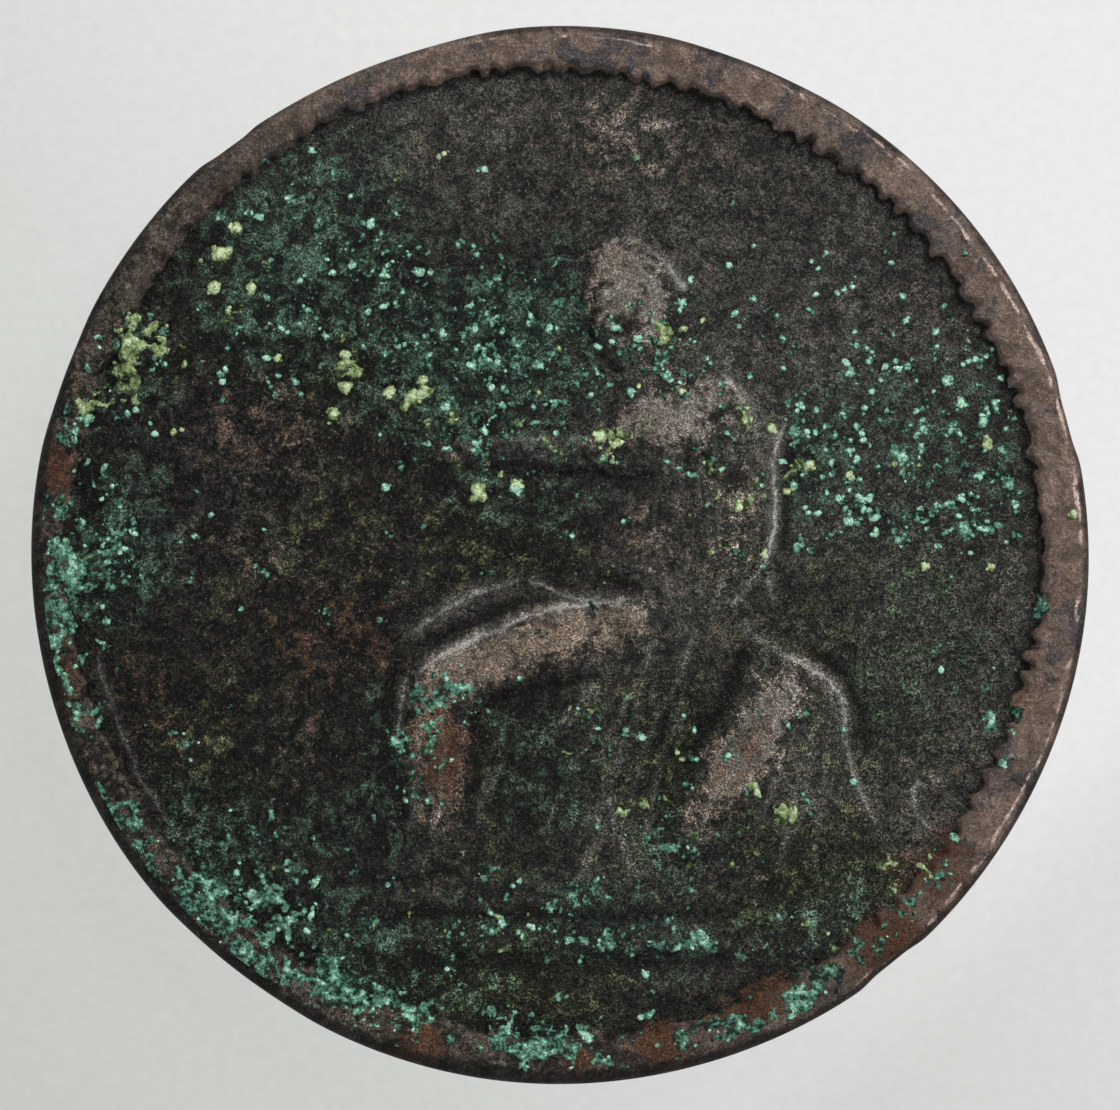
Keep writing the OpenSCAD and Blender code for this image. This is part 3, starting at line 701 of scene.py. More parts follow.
def token_mesh():
    """The whole metal token as one closed mesh: points, quads and triangles."""
    x, y = face_points(FRONT_CELLS)
    front = np.stack([x, y, front_height(x, y)], 1)
    border = grid_border(FRONT_CELLS)
    bx, by = face_points(BACK_CELLS)
    back = np.stack([bx, by, back_height(bx, by)], 1)
    back_border = grid_border(BACK_CELLS)
    rim = front[border]
    low = np.repeat(back[back_border][:, 2], 2)
    low = (low + np.roll(low, 1)) / 2
    rings = edge_rings(rim[:, 0], rim[:, 1], rim[:, 2], low)
    points = [front] + rings + [back]
    quads = [grid_quads(FRONT_CELLS)]
    upper = border
    start = len(front)
    for ring in rings:
        lower = start + np.arange(len(ring))
        quads.append(ring_quads(upper, lower))
        upper = lower
        start += len(ring)
    quads.append(start + grid_quads(BACK_CELLS)[:, ::-1])
    coarse = start + back_border
    ahead = np.roll(coarse, -1)
    a = upper[0::2]
    b = upper[1::2]
    c = np.roll(upper, -2)[0::2]
    stitches = np.concatenate([np.stack([a, coarse, b], 1), np.stack([b, coarse, ahead], 1),
                               np.stack([b, ahead, c], 1)])
    return np.concatenate(points), np.concatenate(quads), stitches


def make_object(name, points, faces, tones):
    """A smooth-shaded mesh object from layout points, with float attributes per point."""
    mesh = bpy.data.meshes.new(name)
    mesh.from_pydata((points * MM).tolist(), [], [f for group in faces for f in group.tolist()])
    mesh.polygons.foreach_set("use_smooth", np.ones(len(mesh.polygons), bool))
    for key, values in tones.items():
        layer = mesh.attributes.new(key, "FLOAT", "POINT")
        layer.data.foreach_set("value", np.ascontiguousarray(values, np.float32))
    mesh.validate()
    mesh.update()
    piece = bpy.data.objects.new(name, mesh)
    bpy.context.scene.collection.objects.link(piece)
    return piece


# ---------------- tones
def rub_from_height(x, y, z):
    """How much wear has polished the highs of the figure."""
    high = smooth((z - FIELD_Z - 0.1) / 0.16)
    return high * (np.hypot(x, y) < 12.6)


def front_tones(x, y, z):
    """The colour masks of the front face and the upper edge, with its painted sheen, highlights and shade.
    """
    wx, wy = warped(x, y, 0.55, 1.5, 61)
    nx, ny = warped(x, y, 0.24, 0.8, 63)
    r = np.hypot(x, y)
    figure = smooth((z - FIELD_Z - 0.02) / 0.1) * (r < 12.4)
    angle = np.degrees(np.arctan2(y, x))
    beyond = r - rim_inner(x, y)
    on_rim = smooth(beyond / 0.11 + 0.35)
    crest = np.zeros_like(x)
    cx, cy = warped(x, y, 0.04, 0.3, 77)
    uneven = np.clip(0.9 + 0.45 * fbm(x, y, 0.8, 2, 79) + 0.35 * fbm(x, y, 0.22, 2, 80), 0.2, 1.3)
    # rubbed metal and a painted highlight along the ridges' crests
    for _, half_width, rubbed_and_lit, points in RIDGES:
        core = stroke(cx, cy, points, half_width * 0.6)
        flank = 0.3 * stroke(cx, cy, points, half_width * 1.9)
        crest = np.maximum(crest, rubbed_and_lit * uneven * np.maximum(core, flank))
    # painted shade in the grooves and undercuts
    groove_shade = np.zeros_like(x)
    for _, half_width, points in GROOVES:
        groove_shade = np.maximum(groove_shade, 0.85 * stroke(x, y, points, half_width * 1.2))
    # painted shadow along the foot of the rim's inner wall, strongest at the top and right
    gutter = np.exp(-((beyond + 0.06 + 0.05 * fbm(x, y, 0.2, 2, 81)) / 0.1) ** 2)
    gutter *= by_angle(angle, RIM_SHADOW)
    shade = np.maximum(np.maximum(patches(wx, wy, SHADE), groove_shade), gutter)
    # painted shade on the rounded edge, which starts further in on the lower left
    start = by_angle(angle, EDGE_SHADE) + 0.06 * fbm(x, y, 0.5, 3, 82)
    edge_shade = 0.8 * smooth((r - start) / 0.14)
    folds = creases(x, y)
    # painted highlight on the crease tops and painted shade in their hollows
    crest = np.maximum(crest, 0.14 * smooth((folds - 0.1) / 0.7))
    shade = np.maximum(shade, 0.45 * smooth((-folds - 0.15) / 0.5))
    # a thin, broken painted highlight along the bevel round the edge
    place = 13.96 + 0.06 * fbm(angle * 0.1, r * 0, 1.0, 3, 69) + 0.035 * fbm(x, y, 0.4, 3, 68)
    streaks = 0.5 * fbm(angle * 0.3, r * 2.4, 1.0, 4, 67) + 0.8 * fbm(x, y, 0.3, 3, 70)
    bevel_highlight = np.exp(-((r - place) / 0.055) ** 2) * by_angle(angle, BEVEL_HIGHLIGHT)
    brown = patches(nx, ny, BROWN) + 0.25 * rub_from_height(x, y, z)
    return {
        "brown": np.maximum(brown * (1 - on_rim), by_angle(angle, RIM_BROWN) * on_rim),
        "rub_and_highlight": np.maximum(crest, 0.1 * uneven * fan_folds(x, y)[1]),
        "rim": on_rim,
        "red": patches(nx, ny, RED),
        "olive": patches(wx, wy, OLIVE) * (1 - 0.6 * on_rim),
        "green": patches(wx, wy, GREEN) * (1 - 0.5 * on_rim),
        "purple": patches(wx, wy, PURPLE),
        # grey dust and painted sheen, with the raised figure painted a little lighter
        "dust_and_sheen": np.maximum(patches(wx, wy, DUST_AND_SHEEN) * (1 - on_rim), 0.35 * figure),
        "shade": np.maximum(shade * (1 - smooth(beyond / 0.1)), edge_shade),
        "bevel_highlight": np.clip(bevel_highlight * (0.95 + 0.85 * streaks), 0, 1),
    }


def back_tones(x, y):
    """The colour masks of the back face and the lower edge, with its painted sheen, highlights and shade.
    """
    wx, wy = warped(x, y, 0.55, 1.5, 62)
    r = np.hypot(x, y)
    angle = np.degrees(np.arctan2(y, x))
    beyond = r - back_rim_inner(x, y)
    on_rim = smooth(beyond / 0.16 + 0.35)
    leaf, stem = wreath(x, y)
    brown = np.maximum(patches(wx, wy, BACK_BROWN), 0.8 * smooth(3 * leaf))
    # painted shadow along the foot of the back rim's inner wall
    gutter = 0.8 * np.exp(-((beyond + 0.07) / 0.13) ** 2) * (1 - smooth(beyond / 0.1))
    return {
        "brown": np.maximum(brown * (1 - on_rim), by_angle(180 - angle, RIM_BROWN) * on_rim),
        # the wreath's stem and leaves: rubbed metal with a painted highlight
        "rub_and_highlight": 0.4 * np.maximum(stem, smooth(2.4 * leaf - 0.8)) * (1 - on_rim),
        "rim": on_rim,
        "red": patches(wx, wy, BACK_RED),
        "olive": patches(wx, wy, BACK_OLIVE),
        "green": patches(wx, wy, BACK_GREEN),
        "purple": np.zeros_like(x),
        "dust_and_sheen": patches(wx, wy, BACK_DUST_AND_SHEEN) * (1 - on_rim),
        # painted shadow inside the rim and painted shade on the rounded edge
        "shade": np.maximum(gutter, 0.6 * smooth((r - 14.06) / 0.08)),
        "bevel_highlight": np.zeros_like(x),
    }


def token_tones(x, y, z):
    """The colour masks of the whole token, blended from face to face over the edge."""
    front = front_tones(x, y, z)
    back = back_tones(x, y)
    share = smooth(z / TOP * 1.4 - 0.2)
    return {key: front[key] * share + back[key] * (1 - share) for key in front}


# ---------------- crust
def crust_sheet(spots, flecks, thickness, seed, porosity):
    """A broken crust over the front face where the patches are strong enough.

    Its top sinks below the metal where it ends, so its outline is where the two meet.
    """
    x, y = face_points(FRONT_CELLS)
    wx, wy = warped(x, y, 0.35, 0.8, seed)
    cover = patches(wx, wy, spots)
    area = patches(wx, wy, flecks)
    near = (cover > 0.08) | (area > 0.25)  # nothing grows elsewhere, so it's left out
    holes = porosity * fbm(x[near], y[near], 0.22, 3, seed + 1)
    lumps = fbm(x[near], y[near], 0.32, 3, seed + 7)
    grow = np.full_like(x, -1.0)
    sheet = 1.2 * cover[near] + holes - 0.7
    fleck = 1.1 * (lumps - 1.4 + 0.8 * area[near]) + 0.3 * holes
    grow[near] = np.maximum(sheet, fleck)
    rough = 0.3 * fbm(x, y, 0.16, 2, seed + 3)
    lift = thickness * np.clip(np.minimum(grow, 0.4) * 1.5 + rough * (grow > 0), -0.4, 1.0)
    quads = grid_quads(FRONT_CELLS)
    kept = quads[(grow[quads].max(1) > 0)]
    used, faces = np.unique(kept, return_inverse=True)
    faces = faces.reshape(kept.shape)
    base = front_height(x[used], y[used])
    top = np.stack([x[used], y[used], base + lift[used]], 1)
    floor = np.stack([x[used], y[used], base - 0.5 * thickness - 0.02], 1)
    count = len(used)
    low_faces = faces[:, ::-1] + count
    walls = border_walls(faces, count)
    small = area[used] * (cover[used] < 0.4)
    tone = 0.2 + (0.35 + 0.7 * small) * grow[used] + 0.25 * fbm(x[used], y[used], 0.9, 2, seed + 5)
    tone = np.clip(tone, 0, 1)
    return np.concatenate([top, floor]), [faces, low_faces, walls], np.concatenate([tone, tone])


def border_walls(faces, count):
    """Upright faces round the open border of a sheet whose floor has the same points + count."""
    edges = np.concatenate([np.stack([faces[:, k], faces[:, (k + 1) % 4]], 1) for k in range(4)])
    keys = edges[:, 0].astype(np.int64) * count + edges[:, 1]
    opposite = edges[:, 1].astype(np.int64) * count + edges[:, 0]
    open_edges = edges[~np.isin(keys, opposite)]
    a = open_edges[:, 0]
    b = open_edges[:, 1]
    return np.stack([b, a, a + count, b + count], 1)


def bead_cloud(clouds, pale, rng):
    """Small beads in short chains through the clouds: x, y, radius and tone of each."""
    out = []
    per_group = 2.6
    for x, y, half_w, half_h, number, pale_share in clouds:
        share = pale_share if pale else 1 - pale_share
        groups = int(number * share / per_group)
        turn = rng.uniform(0, 2 * math.pi, groups)
        reach = rng.uniform(0, 1, groups) ** 0.6
        heart = np.stack([x + half_w * reach * np.cos(turn), y + half_h * reach * np.sin(turn)], 1)
        members = rng.integers(1, 5, groups) ** 2 // 4 + 1  # 1, 2, 3 or 5 beads
        lean = np.repeat(rng.uniform(0, math.pi, groups), members)
        mood = np.repeat(rng.normal(0, 0.22, groups), members)
        count = len(lean)
        along = rng.normal(0, 0.15, count)
        step = np.stack([along * np.cos(lean), along * np.sin(lean)], 1)
        place = np.repeat(heart, members, 0) + step + rng.normal(0, 0.045, (count, 2))
        size = 0.03 + 0.075 * rng.uniform(0, 1, count) ** 1.7
        tone = np.clip(-0.2 + 7.5 * size + mood + rng.normal(0, 0.15, count), 0, 1)
        out.append(np.column_stack([place, size, tone]))
    return np.concatenate(out)


def clustered(beads, rng):
    """Each large bead with three small ones that have grown against it."""
    out = []
    for x, y, radius, tone in beads:
        out.append([x, y, radius, tone])
        for turn in rng.uniform(0, 2 * math.pi, 3):
            small = radius * rng.uniform(0.3, 0.65)
            gap = radius * rng.uniform(0.7, 1.1)
            small_x = x + gap * math.cos(turn)
            small_y = y + gap * math.sin(turn)
            out.append([small_x, small_y, small, tone * rng.uniform(0.3, 1)])
    return np.array(out)


def crumbs(spots, per_mm2, rng):
    """Grains that are heaped on the patches of crust: x, y, radius and tone of each."""
    out = []
    for x, y, half_w, half_h, turn, strength in spots:
        count = int(per_mm2 * half_w * half_h * strength * 4)
        u = rng.normal(0, 0.55, count) * half_w
        v = rng.normal(0, 0.55, count) * half_h
        c = math.cos(math.radians(turn))
        s = math.sin(math.radians(turn))
        grain_x = x + u * c - v * s
        grain_y = y + u * s + v * c
        clump = fbm(grain_x, grain_y, 0.45, 2, 83)
        kept = clump > -0.12
        size = rng.uniform(0.025, 0.075, count)
        tone = np.clip(0.4 + 0.5 * clump + rng.normal(0, 0.15, count), 0, 1)
        out.append(np.column_stack([grain_x, grain_y, size, tone])[kept])
    return np.concatenate(out)


def bead_mesh(beads, rng, on_front, sides=9):
    """Low irregular domes on a face, each closed by a point sunk in the metal.

    Returns their points, faces and tone.
    """
    count = len(beads)
    turn = np.arange(sides) * 2 * math.pi / sides + rng.uniform(0, 1, (count, 1))
    lobes = 1 + 0.28 * np.sin(2 * turn + rng.uniform(0, 7, (count, 1))) * rng.uniform(0, 1, (count, 1))
    lobes += 0.07 * rng.normal(0, 1, (count, sides))
    # reach, rise and change of tone of each ring: paler on top partly as the crust's own paler core and
    # partly as a painted highlight, darker at the foot as painted shade
    rings = [(0.4, 0.95, 0.1), (0.78, 0.62, -0.2), (1.12, -0.3, -0.75)]
    flatness = 0.42
    sunk = 0.4
    x, y, radius, tone = beads.T
    columns = [np.stack([x, y, radius * flatness], 1)[:, None, :]]
    tones = [tone[:, None] + 0.15]
    for reach, rise, change in rings:
        r = radius[:, None] * reach * lobes
        z = np.broadcast_to(radius[:, None] * rise * flatness, r.shape)
        columns.append(np.stack([x[:, None] + r * np.cos(turn), y[:, None] + r * np.sin(turn), z], 2))
        tones.append(np.repeat(tone[:, None] + change, sides, 1))
    columns.append(np.stack([x, y, -radius * sunk], 1)[:, None, :])
    tones.append(tone[:, None])
    points = np.concatenate(columns, 1)
    per_bead = points.shape[1]
    x, y, z = points.reshape(-1, 3).T
    ground = front_height(x, y) + z if on_front else back_height(x, y) - z
    points = np.stack([x, y, ground], 1)
    first = np.arange(sides) + 1
    after = np.roll(first, -1)
    quads = np.concatenate([np.stack([first + k * sides, first + (k + 1) * sides,
                                      after + (k + 1) * sides, after + k * sides], 1) for k in (0, 1)])
    last = 2 * sides
    tris = np.concatenate([np.stack([np.zeros(sides, int), first, after], 1),
                           np.stack([first + last, np.full(sides, per_bead - 1), after + last], 1)])
    if not on_front:
        quads = quads[:, ::-1]
        tris = tris[:, ::-1]
    start = (np.arange(count) * per_bead)[:, None, None]
    return (points, [(quads + start).reshape(-1, 4), (tris + start).reshape(-1, 3)],
            np.clip(np.concatenate(tones, 1), 0, 1).ravel())


def verdigris(name, spots, flecks, big_beads, pale, seed, thickness, porosity):
    """One colour of corrosion: its crust and all its beads in one object."""
    rng = np.random.default_rng(seed)
    points, faces, tone = crust_sheet(spots, flecks, thickness, seed, porosity)
    bead_scale = 0.95 if pale else 0.85
    big = clustered([[x, y, bead_scale * r, 0.75 + 0.25 * rng.uniform()] for x, y, r in big_beads], rng)
    beads = np.concatenate([big, bead_cloud(BEAD_CLOUDS, pale, rng), crumbs(spots, per_mm2=10, rng=rng)])
    beads = beads[np.hypot(beads[:, 0], beads[:, 1]) < LAST_BEAD_R]
    parts = [(points, faces, tone), bead_mesh(beads, rng, True),
             bead_mesh(bead_cloud(BACK_CLOUDS, pale, rng), rng, False)]
    all_faces = []
    start = 0
    for points, faces, _ in parts:
        all_faces += [group + start for group in faces]
        start += len(points)
    return make_object(name, np.concatenate([part[0] for part in parts]), all_faces,
                       {"tone": np.concatenate([part[2] for part in parts])})


# ---------------- materials
def srgb(red, green, blue):
    """A linear colour from display values of 0 to 255."""
    def linear(value):
        value /= 255
        return value / 12.92 if value <= 0.04045 else ((value + 0.055) / 1.055) ** 2.4
    return (linear(red), linear(green), linear(blue), 1)


class Shader:
    """Adds and links the nodes of one material. Noise sizes are in features per millimetre."""

    def __init__(self, name):
        self.material = bpy.data.materials.new(name)
        self.material.use_nodes = True
        self.tree = self.material.node_tree
        self.bsdf = next(n for n in self.tree.nodes if n.type == "BSDF_PRINCIPLED")
        self.coords = self.tree.nodes.new("ShaderNodeTexCoord").outputs["Object"]

    def feed(self, socket, value):
        if isinstance(value, bpy.types.NodeSocket):
            self.tree.links.new(value, socket)
        else:
            socket.default_value = value

    def mask(self, name):
        node = self.tree.nodes.new("ShaderNodeAttribute")
        node.attribute_name = name
        return node.outputs["Fac"]

    def noise(self, per_mm, detail=4, roughness=0.55, swirl=0.0):
        node = self.tree.nodes.new("ShaderNodeTexNoise")
        node.inputs["Distortion"].default_value = swirl
        self.feed(node.inputs["Vector"], self.coords)
        self.feed(node.inputs["Scale"], per_mm * 1000)
        self.feed(node.inputs["Detail"], detail)
        self.feed(node.inputs["Roughness"], roughness)
        return node.outputs["Fac"]

    def math(self, operation, a, b=0.0, c=0.0):
        node = self.tree.nodes.new("ShaderNodeMath")
        node.operation = operation
        for socket, value in zip(node.inputs, (a, b, c)):
            self.feed(socket, value)
        return node.outputs[0]

    def times(self, a, b):
        return self.math("MULTIPLY", a, b)

    def band(self, value, low, high, to_low=0.0, to_high=1.0):
        """A smooth ramp from to_low at low to to_high at high."""
        node = self.tree.nodes.new("ShaderNodeMapRange")
        node.interpolation_type = "SMOOTHSTEP"
        for socket, number in zip(node.inputs, (value, low, high, to_low, to_high)):
            self.feed(socket, number)
        return node.outputs[0]

    def mix(self, factor, a, b, blend="MIX"):
        node = self.tree.nodes.new("ShaderNodeMix")
        node.data_type = "RGBA"
        node.blend_type = blend
        self.feed(node.inputs[0], factor)
        self.feed(node.inputs[6], a)
        self.feed(node.inputs[7], b)
        return node.outputs[2]

    def grey(self, value):
        node = self.tree.nodes.new("ShaderNodeCombineColor")
        for socket in node.inputs[:3]:
            self.feed(socket, value)
        return node.outputs[0]

    def scaled(self, colour, value):
        """The colour with its brightness multiplied by the value."""
        return self.mix(1.0, colour, self.grey(value), "MULTIPLY")

    def towards(self, direction):
        """The dot product of each point, in metres, with a direction of any length."""
        node = self.tree.nodes.new("ShaderNodeVectorMath")
        node.operation = "DOT_PRODUCT"
        self.feed(node.inputs[0], self.coords)
        node.inputs[1].default_value = direction
        return node.outputs["Value"]

    def bump(self, height, depth_mm, normal=None):
        node = self.tree.nodes.new("ShaderNodeBump")
        self.feed(node.inputs["Height"], height)
        node.inputs["Strength"].default_value = 1
        node.inputs["Distance"].default_value = depth_mm * MM
        if normal:
            self.feed(node.inputs["Normal"], normal)
        return node.outputs[0]

    def broken(self, mask, noise, softness=0.16, reach=2.2):
        """A mask whose edge is broken up by noise: 0 where the mask is 0, 1 where it is 1."""
        lifted = self.math("ADD", mask, self.math("MULTIPLY_ADD", noise, reach, -reach / 2))
        edge = self.band(lifted, 0.5 - softness, 0.5 + softness)
        return self.times(edge, self.band(mask, 0.02, 0.2))


def copper_material():
    """Old toned copper: near-black fields with olive, green and purple tones, brown highs, and painted
    sheen, highlights, glints and shade.
    """
    s = Shader("toned_copper")
    broad = s.noise(0.7, 3)
    mottle = s.noise(1.7, 5, 0.65, 0.6)
    grain = s.noise(5.5, 4, 0.68, 0.7)
    speck = s.noise(18, 3, 0.75, 0.3)
    grit = s.noise(32, 2, 0.7)
    mixed = s.math("ADD", s.times(mottle, 0.6), s.times(grain, 0.4))

    # the fields and the figure
    base = s.mix(s.band(mixed, 0.42, 0.6), srgb(10, 12, 9), srgb(42, 41, 34))
    # grey dust and painted sheen over the field and the figure
    dust_and_sheen = s.mix(s.band(mixed, 0.4, 0.6), srgb(54, 56, 51), srgb(93, 92, 86))
    base = s.mix(s.mask("dust_and_sheen"), base, dust_and_sheen)
    base = s.mix(s.times(s.mask("purple"), s.band(mixed, 0.44, 0.56)), base, srgb(58, 51, 52))
    olive = s.broken(s.mask("olive"), mottle, 0.35)
    base = s.mix(s.times(olive, 0.8), base, srgb(28, 33, 18))
    base = s.mix(s.times(olive, s.band(mixed, 0.5, 0.64)), base, srgb(80, 84, 56))
    green = s.broken(s.mask("green"), mottle, 0.35)
    base = s.mix(s.times(green, 0.75), base, srgb(22, 38, 29))
    base = s.mix(s.times(green, s.band(mixed, 0.455, 0.605)), base, srgb(71, 95, 80))
    base = s.mix(s.broken(s.mask("brown"), mixed, 0.24, 3.2), base, srgb(84, 73, 66))
    light_brown = s.broken(s.math("SUBTRACT", s.mask("brown"), 0.2), mixed, 0.24, 3.4)
    polished = s.mix(s.band(s.mask("dust_and_sheen"), 0.28, 0.6), srgb(125, 110, 97), srgb(142, 136, 127))
    base = s.mix(light_brown, base, polished)

    # the rim, and then red copper, rubbed ridges with painted highlights, the painted highlight on the
    # bevel, and painted shade over everything
    rim = s.mix(s.band(mottle, 0.35, 0.65), srgb(112, 96, 87), srgb(153, 132, 120))
    blotch = s.band(s.math("ADD", broad, s.times(mottle, 0.9)), 0.93, 1.08)
    rim = s.mix(s.times(blotch, 0.85), rim, srgb(64, 64, 69))
    rim = s.mix(s.band(s.mask("brown"), 0.3, 0.85, 1.0, 0.0), rim,
                s.mix(s.band(mixed, 0.42, 0.6), srgb(26, 27, 23), srgb(92, 84, 74)))
    base = s.mix(s.band(s.mask("rim"), 0.35, 0.9), base, rim)
    base = s.mix(s.broken(s.mask("red"), mixed, 0.25), base, srgb(88, 62, 47))
    # rubbed metal and painted highlights along the crests
    base = s.mix(s.mask("rub_and_highlight"), base, srgb(190, 187, 180))
    # painted highlight on the bevel
    base = s.mix(s.band(s.mask("bevel_highlight"), 0.25, 0.8), base, srgb(222, 198, 186))
    # painted shade: pockets, grooves, crease hollows, the line inside the rim and the edge
    base = s.mix(s.times(s.mask("shade"), 0.92), base, srgb(8, 8, 7))

    # the grain of the surface, which is calmer on the rim and the highs
    fine = s.times(s.band(grain, 0.36, 0.64, 0.72, 1.28), s.band(speck, 0.4, 0.6, 0.35, 1.8))
    fine = s.times(fine, s.band(grit, 0.38, 0.62, 0.35, 1.7))
    fine = s.math("POWER", fine, s.math("MULTIPLY_ADD", s.mask("olive"), 0.7, 1.15))
    fine = s.times(fine, s.band(broad, 0.35, 0.65, 0.7, 1.1))
    fine = s.times(fine, s.band(mottle, 0.35, 0.65, 0.82, 1.18))
    calm = s.times(s.band(s.mask("rim"), 0.3, 0.8, 0.0, 0.75), s.mask("brown"))
    calm = s.math("MAXIMUM", calm, s.band(s.mask("brown"), 0.4, 0.9, 0.0, 0.3))
    calm = s.math("MAXIMUM", calm, s.times(s.mask("rub_and_highlight"), 0.7))
    fine = s.math("ADD", s.times(fine, s.math("SUBTRACT", 1.0, calm)), calm)
    base = s.scaled(base, fine)
    # painted glints and specks of dust, which are stronger in the field than on the rim
    for spots, in_field, on_rim, colour in (
            (s.band(s.noise(9, 3, 0.7), 0.64, 0.72), 0.55, 0.2, srgb(160, 156, 142)),
            (s.band(s.noise(22, 2, 0.6), 0.6, 0.7), 0.5, 0.15, srgb(122, 121, 108))):
        strength = s.band(s.mask("rim"), 0.2, 0.6, in_field, on_rim)
        base = s.mix(s.times(spots, strength), base, colour)
    s.feed(s.bsdf.inputs["Base Color"], base)

    # rubbed crests and painted highlights are smoother and more metallic
    worn = s.math("MAXIMUM", s.mask("rub_and_highlight"), s.mask("bevel_highlight"))
    dullness = s.math("SUBTRACT", grain, s.times(worn, 0.3))
    s.feed(s.bsdf.inputs["Roughness"], s.band(dullness, 0.2, 0.8, 0.32, 0.65))
    s.feed(s.bsdf.inputs["Metallic"], s.band(s.math("ADD", s.mask("brown"), worn), 0.3, 1.6, 0.0, 0.4))
    s.bsdf.inputs["Specular IOR Level"].default_value = 0.14
    fine_bump = s.bump(speck, 0.065)
    middle = s.bump(grain, 0.18, fine_bump)
    s.feed(s.bsdf.inputs["Normal"], s.bump(mottle, 0.2, middle))
    return s.material


def crust_material(name, dark, middle, bright):
    """Powdery, porous corrosion: dark where it is thin, and darker in its pores and brighter on its crests
    partly as its own colour and partly as painted shade and highlight.
    """
    s = Shader(name)
    mottle = s.noise(2.5, 4, 0.6)
    pores = s.noise(5.5, 4, 0.7)
    powder = s.noise(20, 3, 0.7)
    tone = s.math("ADD", s.mask("tone"), s.math("MULTIPLY_ADD", mottle, 1.2, -0.6))
    tone = s.math("ADD", tone, s.math("MULTIPLY_ADD", pores, 3.4, -1.7))
    base = s.mix(s.band(tone, 0.0, 0.45), dark, middle)
    base = s.mix(s.band(tone, 0.45, 1.1), base, bright)
    base = s.scaled(base, s.band(powder, 0.35, 0.65, 0.6, 1.25))
    s.feed(s.bsdf.inputs["Base Color"], base)
    s.feed(s.bsdf.inputs["Roughness"], s.band(powder, 0.2, 0.8, 0.7, 0.95))
    s.bsdf.inputs["Specular IOR Level"].default_value = 0.25
    s.feed(s.bsdf.inputs["Normal"], s.bump(pores, 0.1, s.bump(powder, 0.03)))
    return s.material


def floor_material():
    """Pale paper with a faint tooth, which glows by itself as painted light that washes out the token's
    shadow, and is painted brighter towards the upper right and darker towards the lower right corner.
    """
    s = Shader("pale_floor")
    # painted light: brighter towards the upper right
    painted_light_gradient = s.band(s.towards((1, 0.6, 0)), -0.03, 0.016)
    paper = s.mix(painted_light_gradient, srgb(138, 140, 135), srgb(166, 166, 166))
    # painted shade towards the lower right corner
    paper = s.scaled(paper, s.band(s.towards((1, -1, 0)), 0.018, 0.024, 1.0, 0.86))
    paper = s.scaled(paper, s.band(s.noise(3, 4), 0.3, 0.7, 0.98, 1.02))
    # the paper mostly glows rather than being lit, a painted light
    s.feed(s.bsdf.inputs["Base Color"], s.mix(0.85, paper, srgb(0, 0, 0)))
    s.feed(s.bsdf.inputs["Emission Color"], paper)
    s.bsdf.inputs["Emission Strength"].default_value = 2.03
    s.bsdf.inputs["Roughness"].default_value = 0.9
    s.bsdf.inputs["Specular IOR Level"].default_value = 0.1
    return s.material


# ---------------- staging
def make_floor():
    """A large pale sheet under the token."""
    half = 0.8
    mesh = bpy.data.meshes.new("floor")
    corners = [(-half, -half, 0), (half, -half, 0), (half, half, 0), (-half, half, 0)]
    mesh.from_pydata(corners, [], [(0, 1, 2, 3)])
    floor = bpy.data.objects.new("floor", mesh)
    bpy.context.scene.collection.objects.link(floor)
    floor.data.materials.append(floor_material())


def soft_light(name, place, size, power, colour):
    """A square soft light that looks at the token."""
    light = bpy.data.lights.new(name, "AREA")
    light.size = size
    light.energy = power
    light.color = colour
    lamp = bpy.data.objects.new(name, light)
    lamp.visible_camera = False
    lamp.location = place
    gaze = Vector((0, 0, TOP * MM)) - Vector(place)
    lamp.rotation_euler = gaze.to_track_quat("-Z", "Y").to_euler()
    bpy.context.scene.collection.objects.link(lamp)


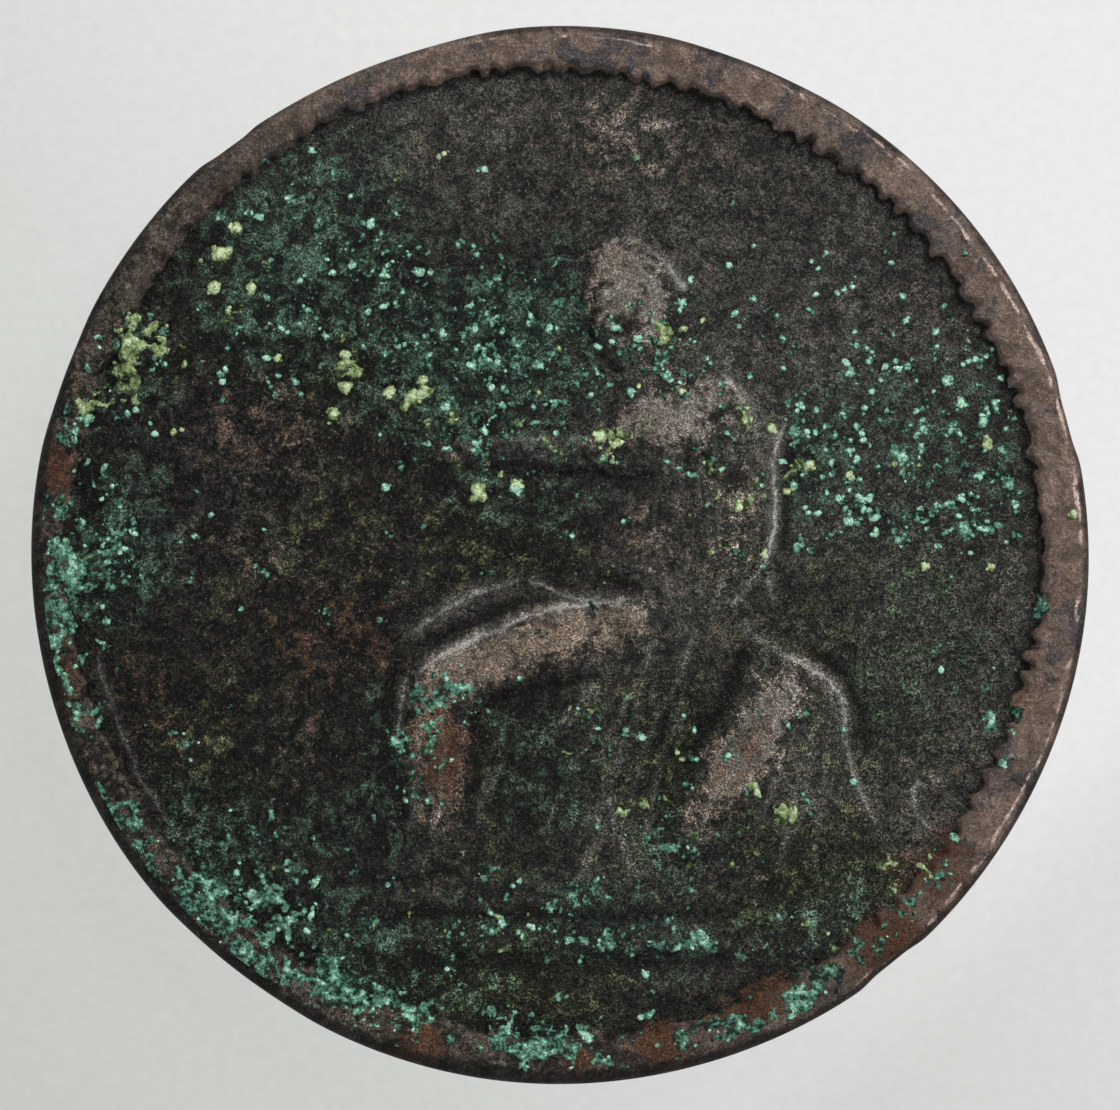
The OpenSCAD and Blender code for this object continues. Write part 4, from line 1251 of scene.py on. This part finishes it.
def make_world():
    """A pale room: bright at the horizon and dim overhead."""
    world = bpy.data.worlds.new("room")
    world.use_nodes = True
    tree = world.node_tree
    coords = tree.nodes.new("ShaderNodeTexCoord")
    split = tree.nodes.new("ShaderNodeSeparateXYZ")
    ramp = tree.nodes.new("ShaderNodeMapRange")
    background = next(n for n in tree.nodes if n.type == "BACKGROUND")
    tree.links.new(coords.outputs["Generated"], split.inputs[0])
    tree.links.new(split.outputs["Z"], ramp.inputs[0])
    # height where the sky starts to dim, height where it stops, and its strength at each
    for socket, value in zip(ramp.inputs[1:5], (0.1, 0.95, 0.58, 0.1)):
        socket.default_value = value
    tree.links.new(ramp.outputs[0], background.inputs["Strength"])
    background.inputs["Color"].default_value = (0.98, 1.0, 1.0, 1)
    bpy.context.scene.world = world


def make_camera():
    """Straight above the token, with its top towards +Y."""
    camera = bpy.data.cameras.new("camera")
    camera.sensor_width = 36
    camera.lens = camera.sensor_width * CAMERA_DISTANCE / (VIEW_WIDTH * MM)
    camera.clip_start = 0.01
    thing = bpy.data.objects.new("camera", camera)
    thing.location = (0, 0, TOP * MM + CAMERA_DISTANCE)
    bpy.context.scene.collection.objects.link(thing)
    bpy.context.scene.camera = thing


# ---------------- main
def build_token():
    """The metal, in place of the plain CAD body."""
    points, quads, tris = token_mesh()
    x, y, z = points.T
    tones = token_tones(x, y, z)
    token = make_object("token_metal", points, [quads, tris], tones)
    token.data.materials.append(copper_material())
    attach(token, "root")
    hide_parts("token_body")


def build_verdigris():
    """Both colours of corrosion, in place of the CAD grains."""
    teal = verdigris("teal_crust", TEAL_CRUST, TEAL_FLECKS, TEAL_BEADS,
                     pale=False, seed=71, thickness=0.05, porosity=0.6)
    teal.data.materials.append(crust_material(
        "teal_verdigris", dark=srgb(24, 38, 31), middle=srgb(84, 134, 111), bright=srgb(184, 234, 208)))
    pale = verdigris("pale_crust", PALE_CRUST, PALE_FLECKS, PALE_BEADS,
                     pale=True, seed=91, thickness=0.09, porosity=0.55)
    pale.data.materials.append(crust_material(
        "pale_verdigris", dark=srgb(58, 72, 44), middle=srgb(140, 160, 108), bright=srgb(212, 232, 186)))
    for piece, node in ((teal, "teal_verdigris"), (pale, "pale_verdigris")):
        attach(piece, "root")
        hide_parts(node)


make_camera()
make_world()
soft_light("key", place=(0.15, 0.2, 0.2), size=0.18, power=1.18, colour=(1.0, 0.99, 0.97))
soft_light("fill", place=(-0.28, -0.24, 0.13), size=0.3, power=0.54, colour=(0.95, 0.98, 1.0))
make_floor()
build_token()
build_verdigris()
bpy.context.scene.view_settings.view_transform = "Standard"
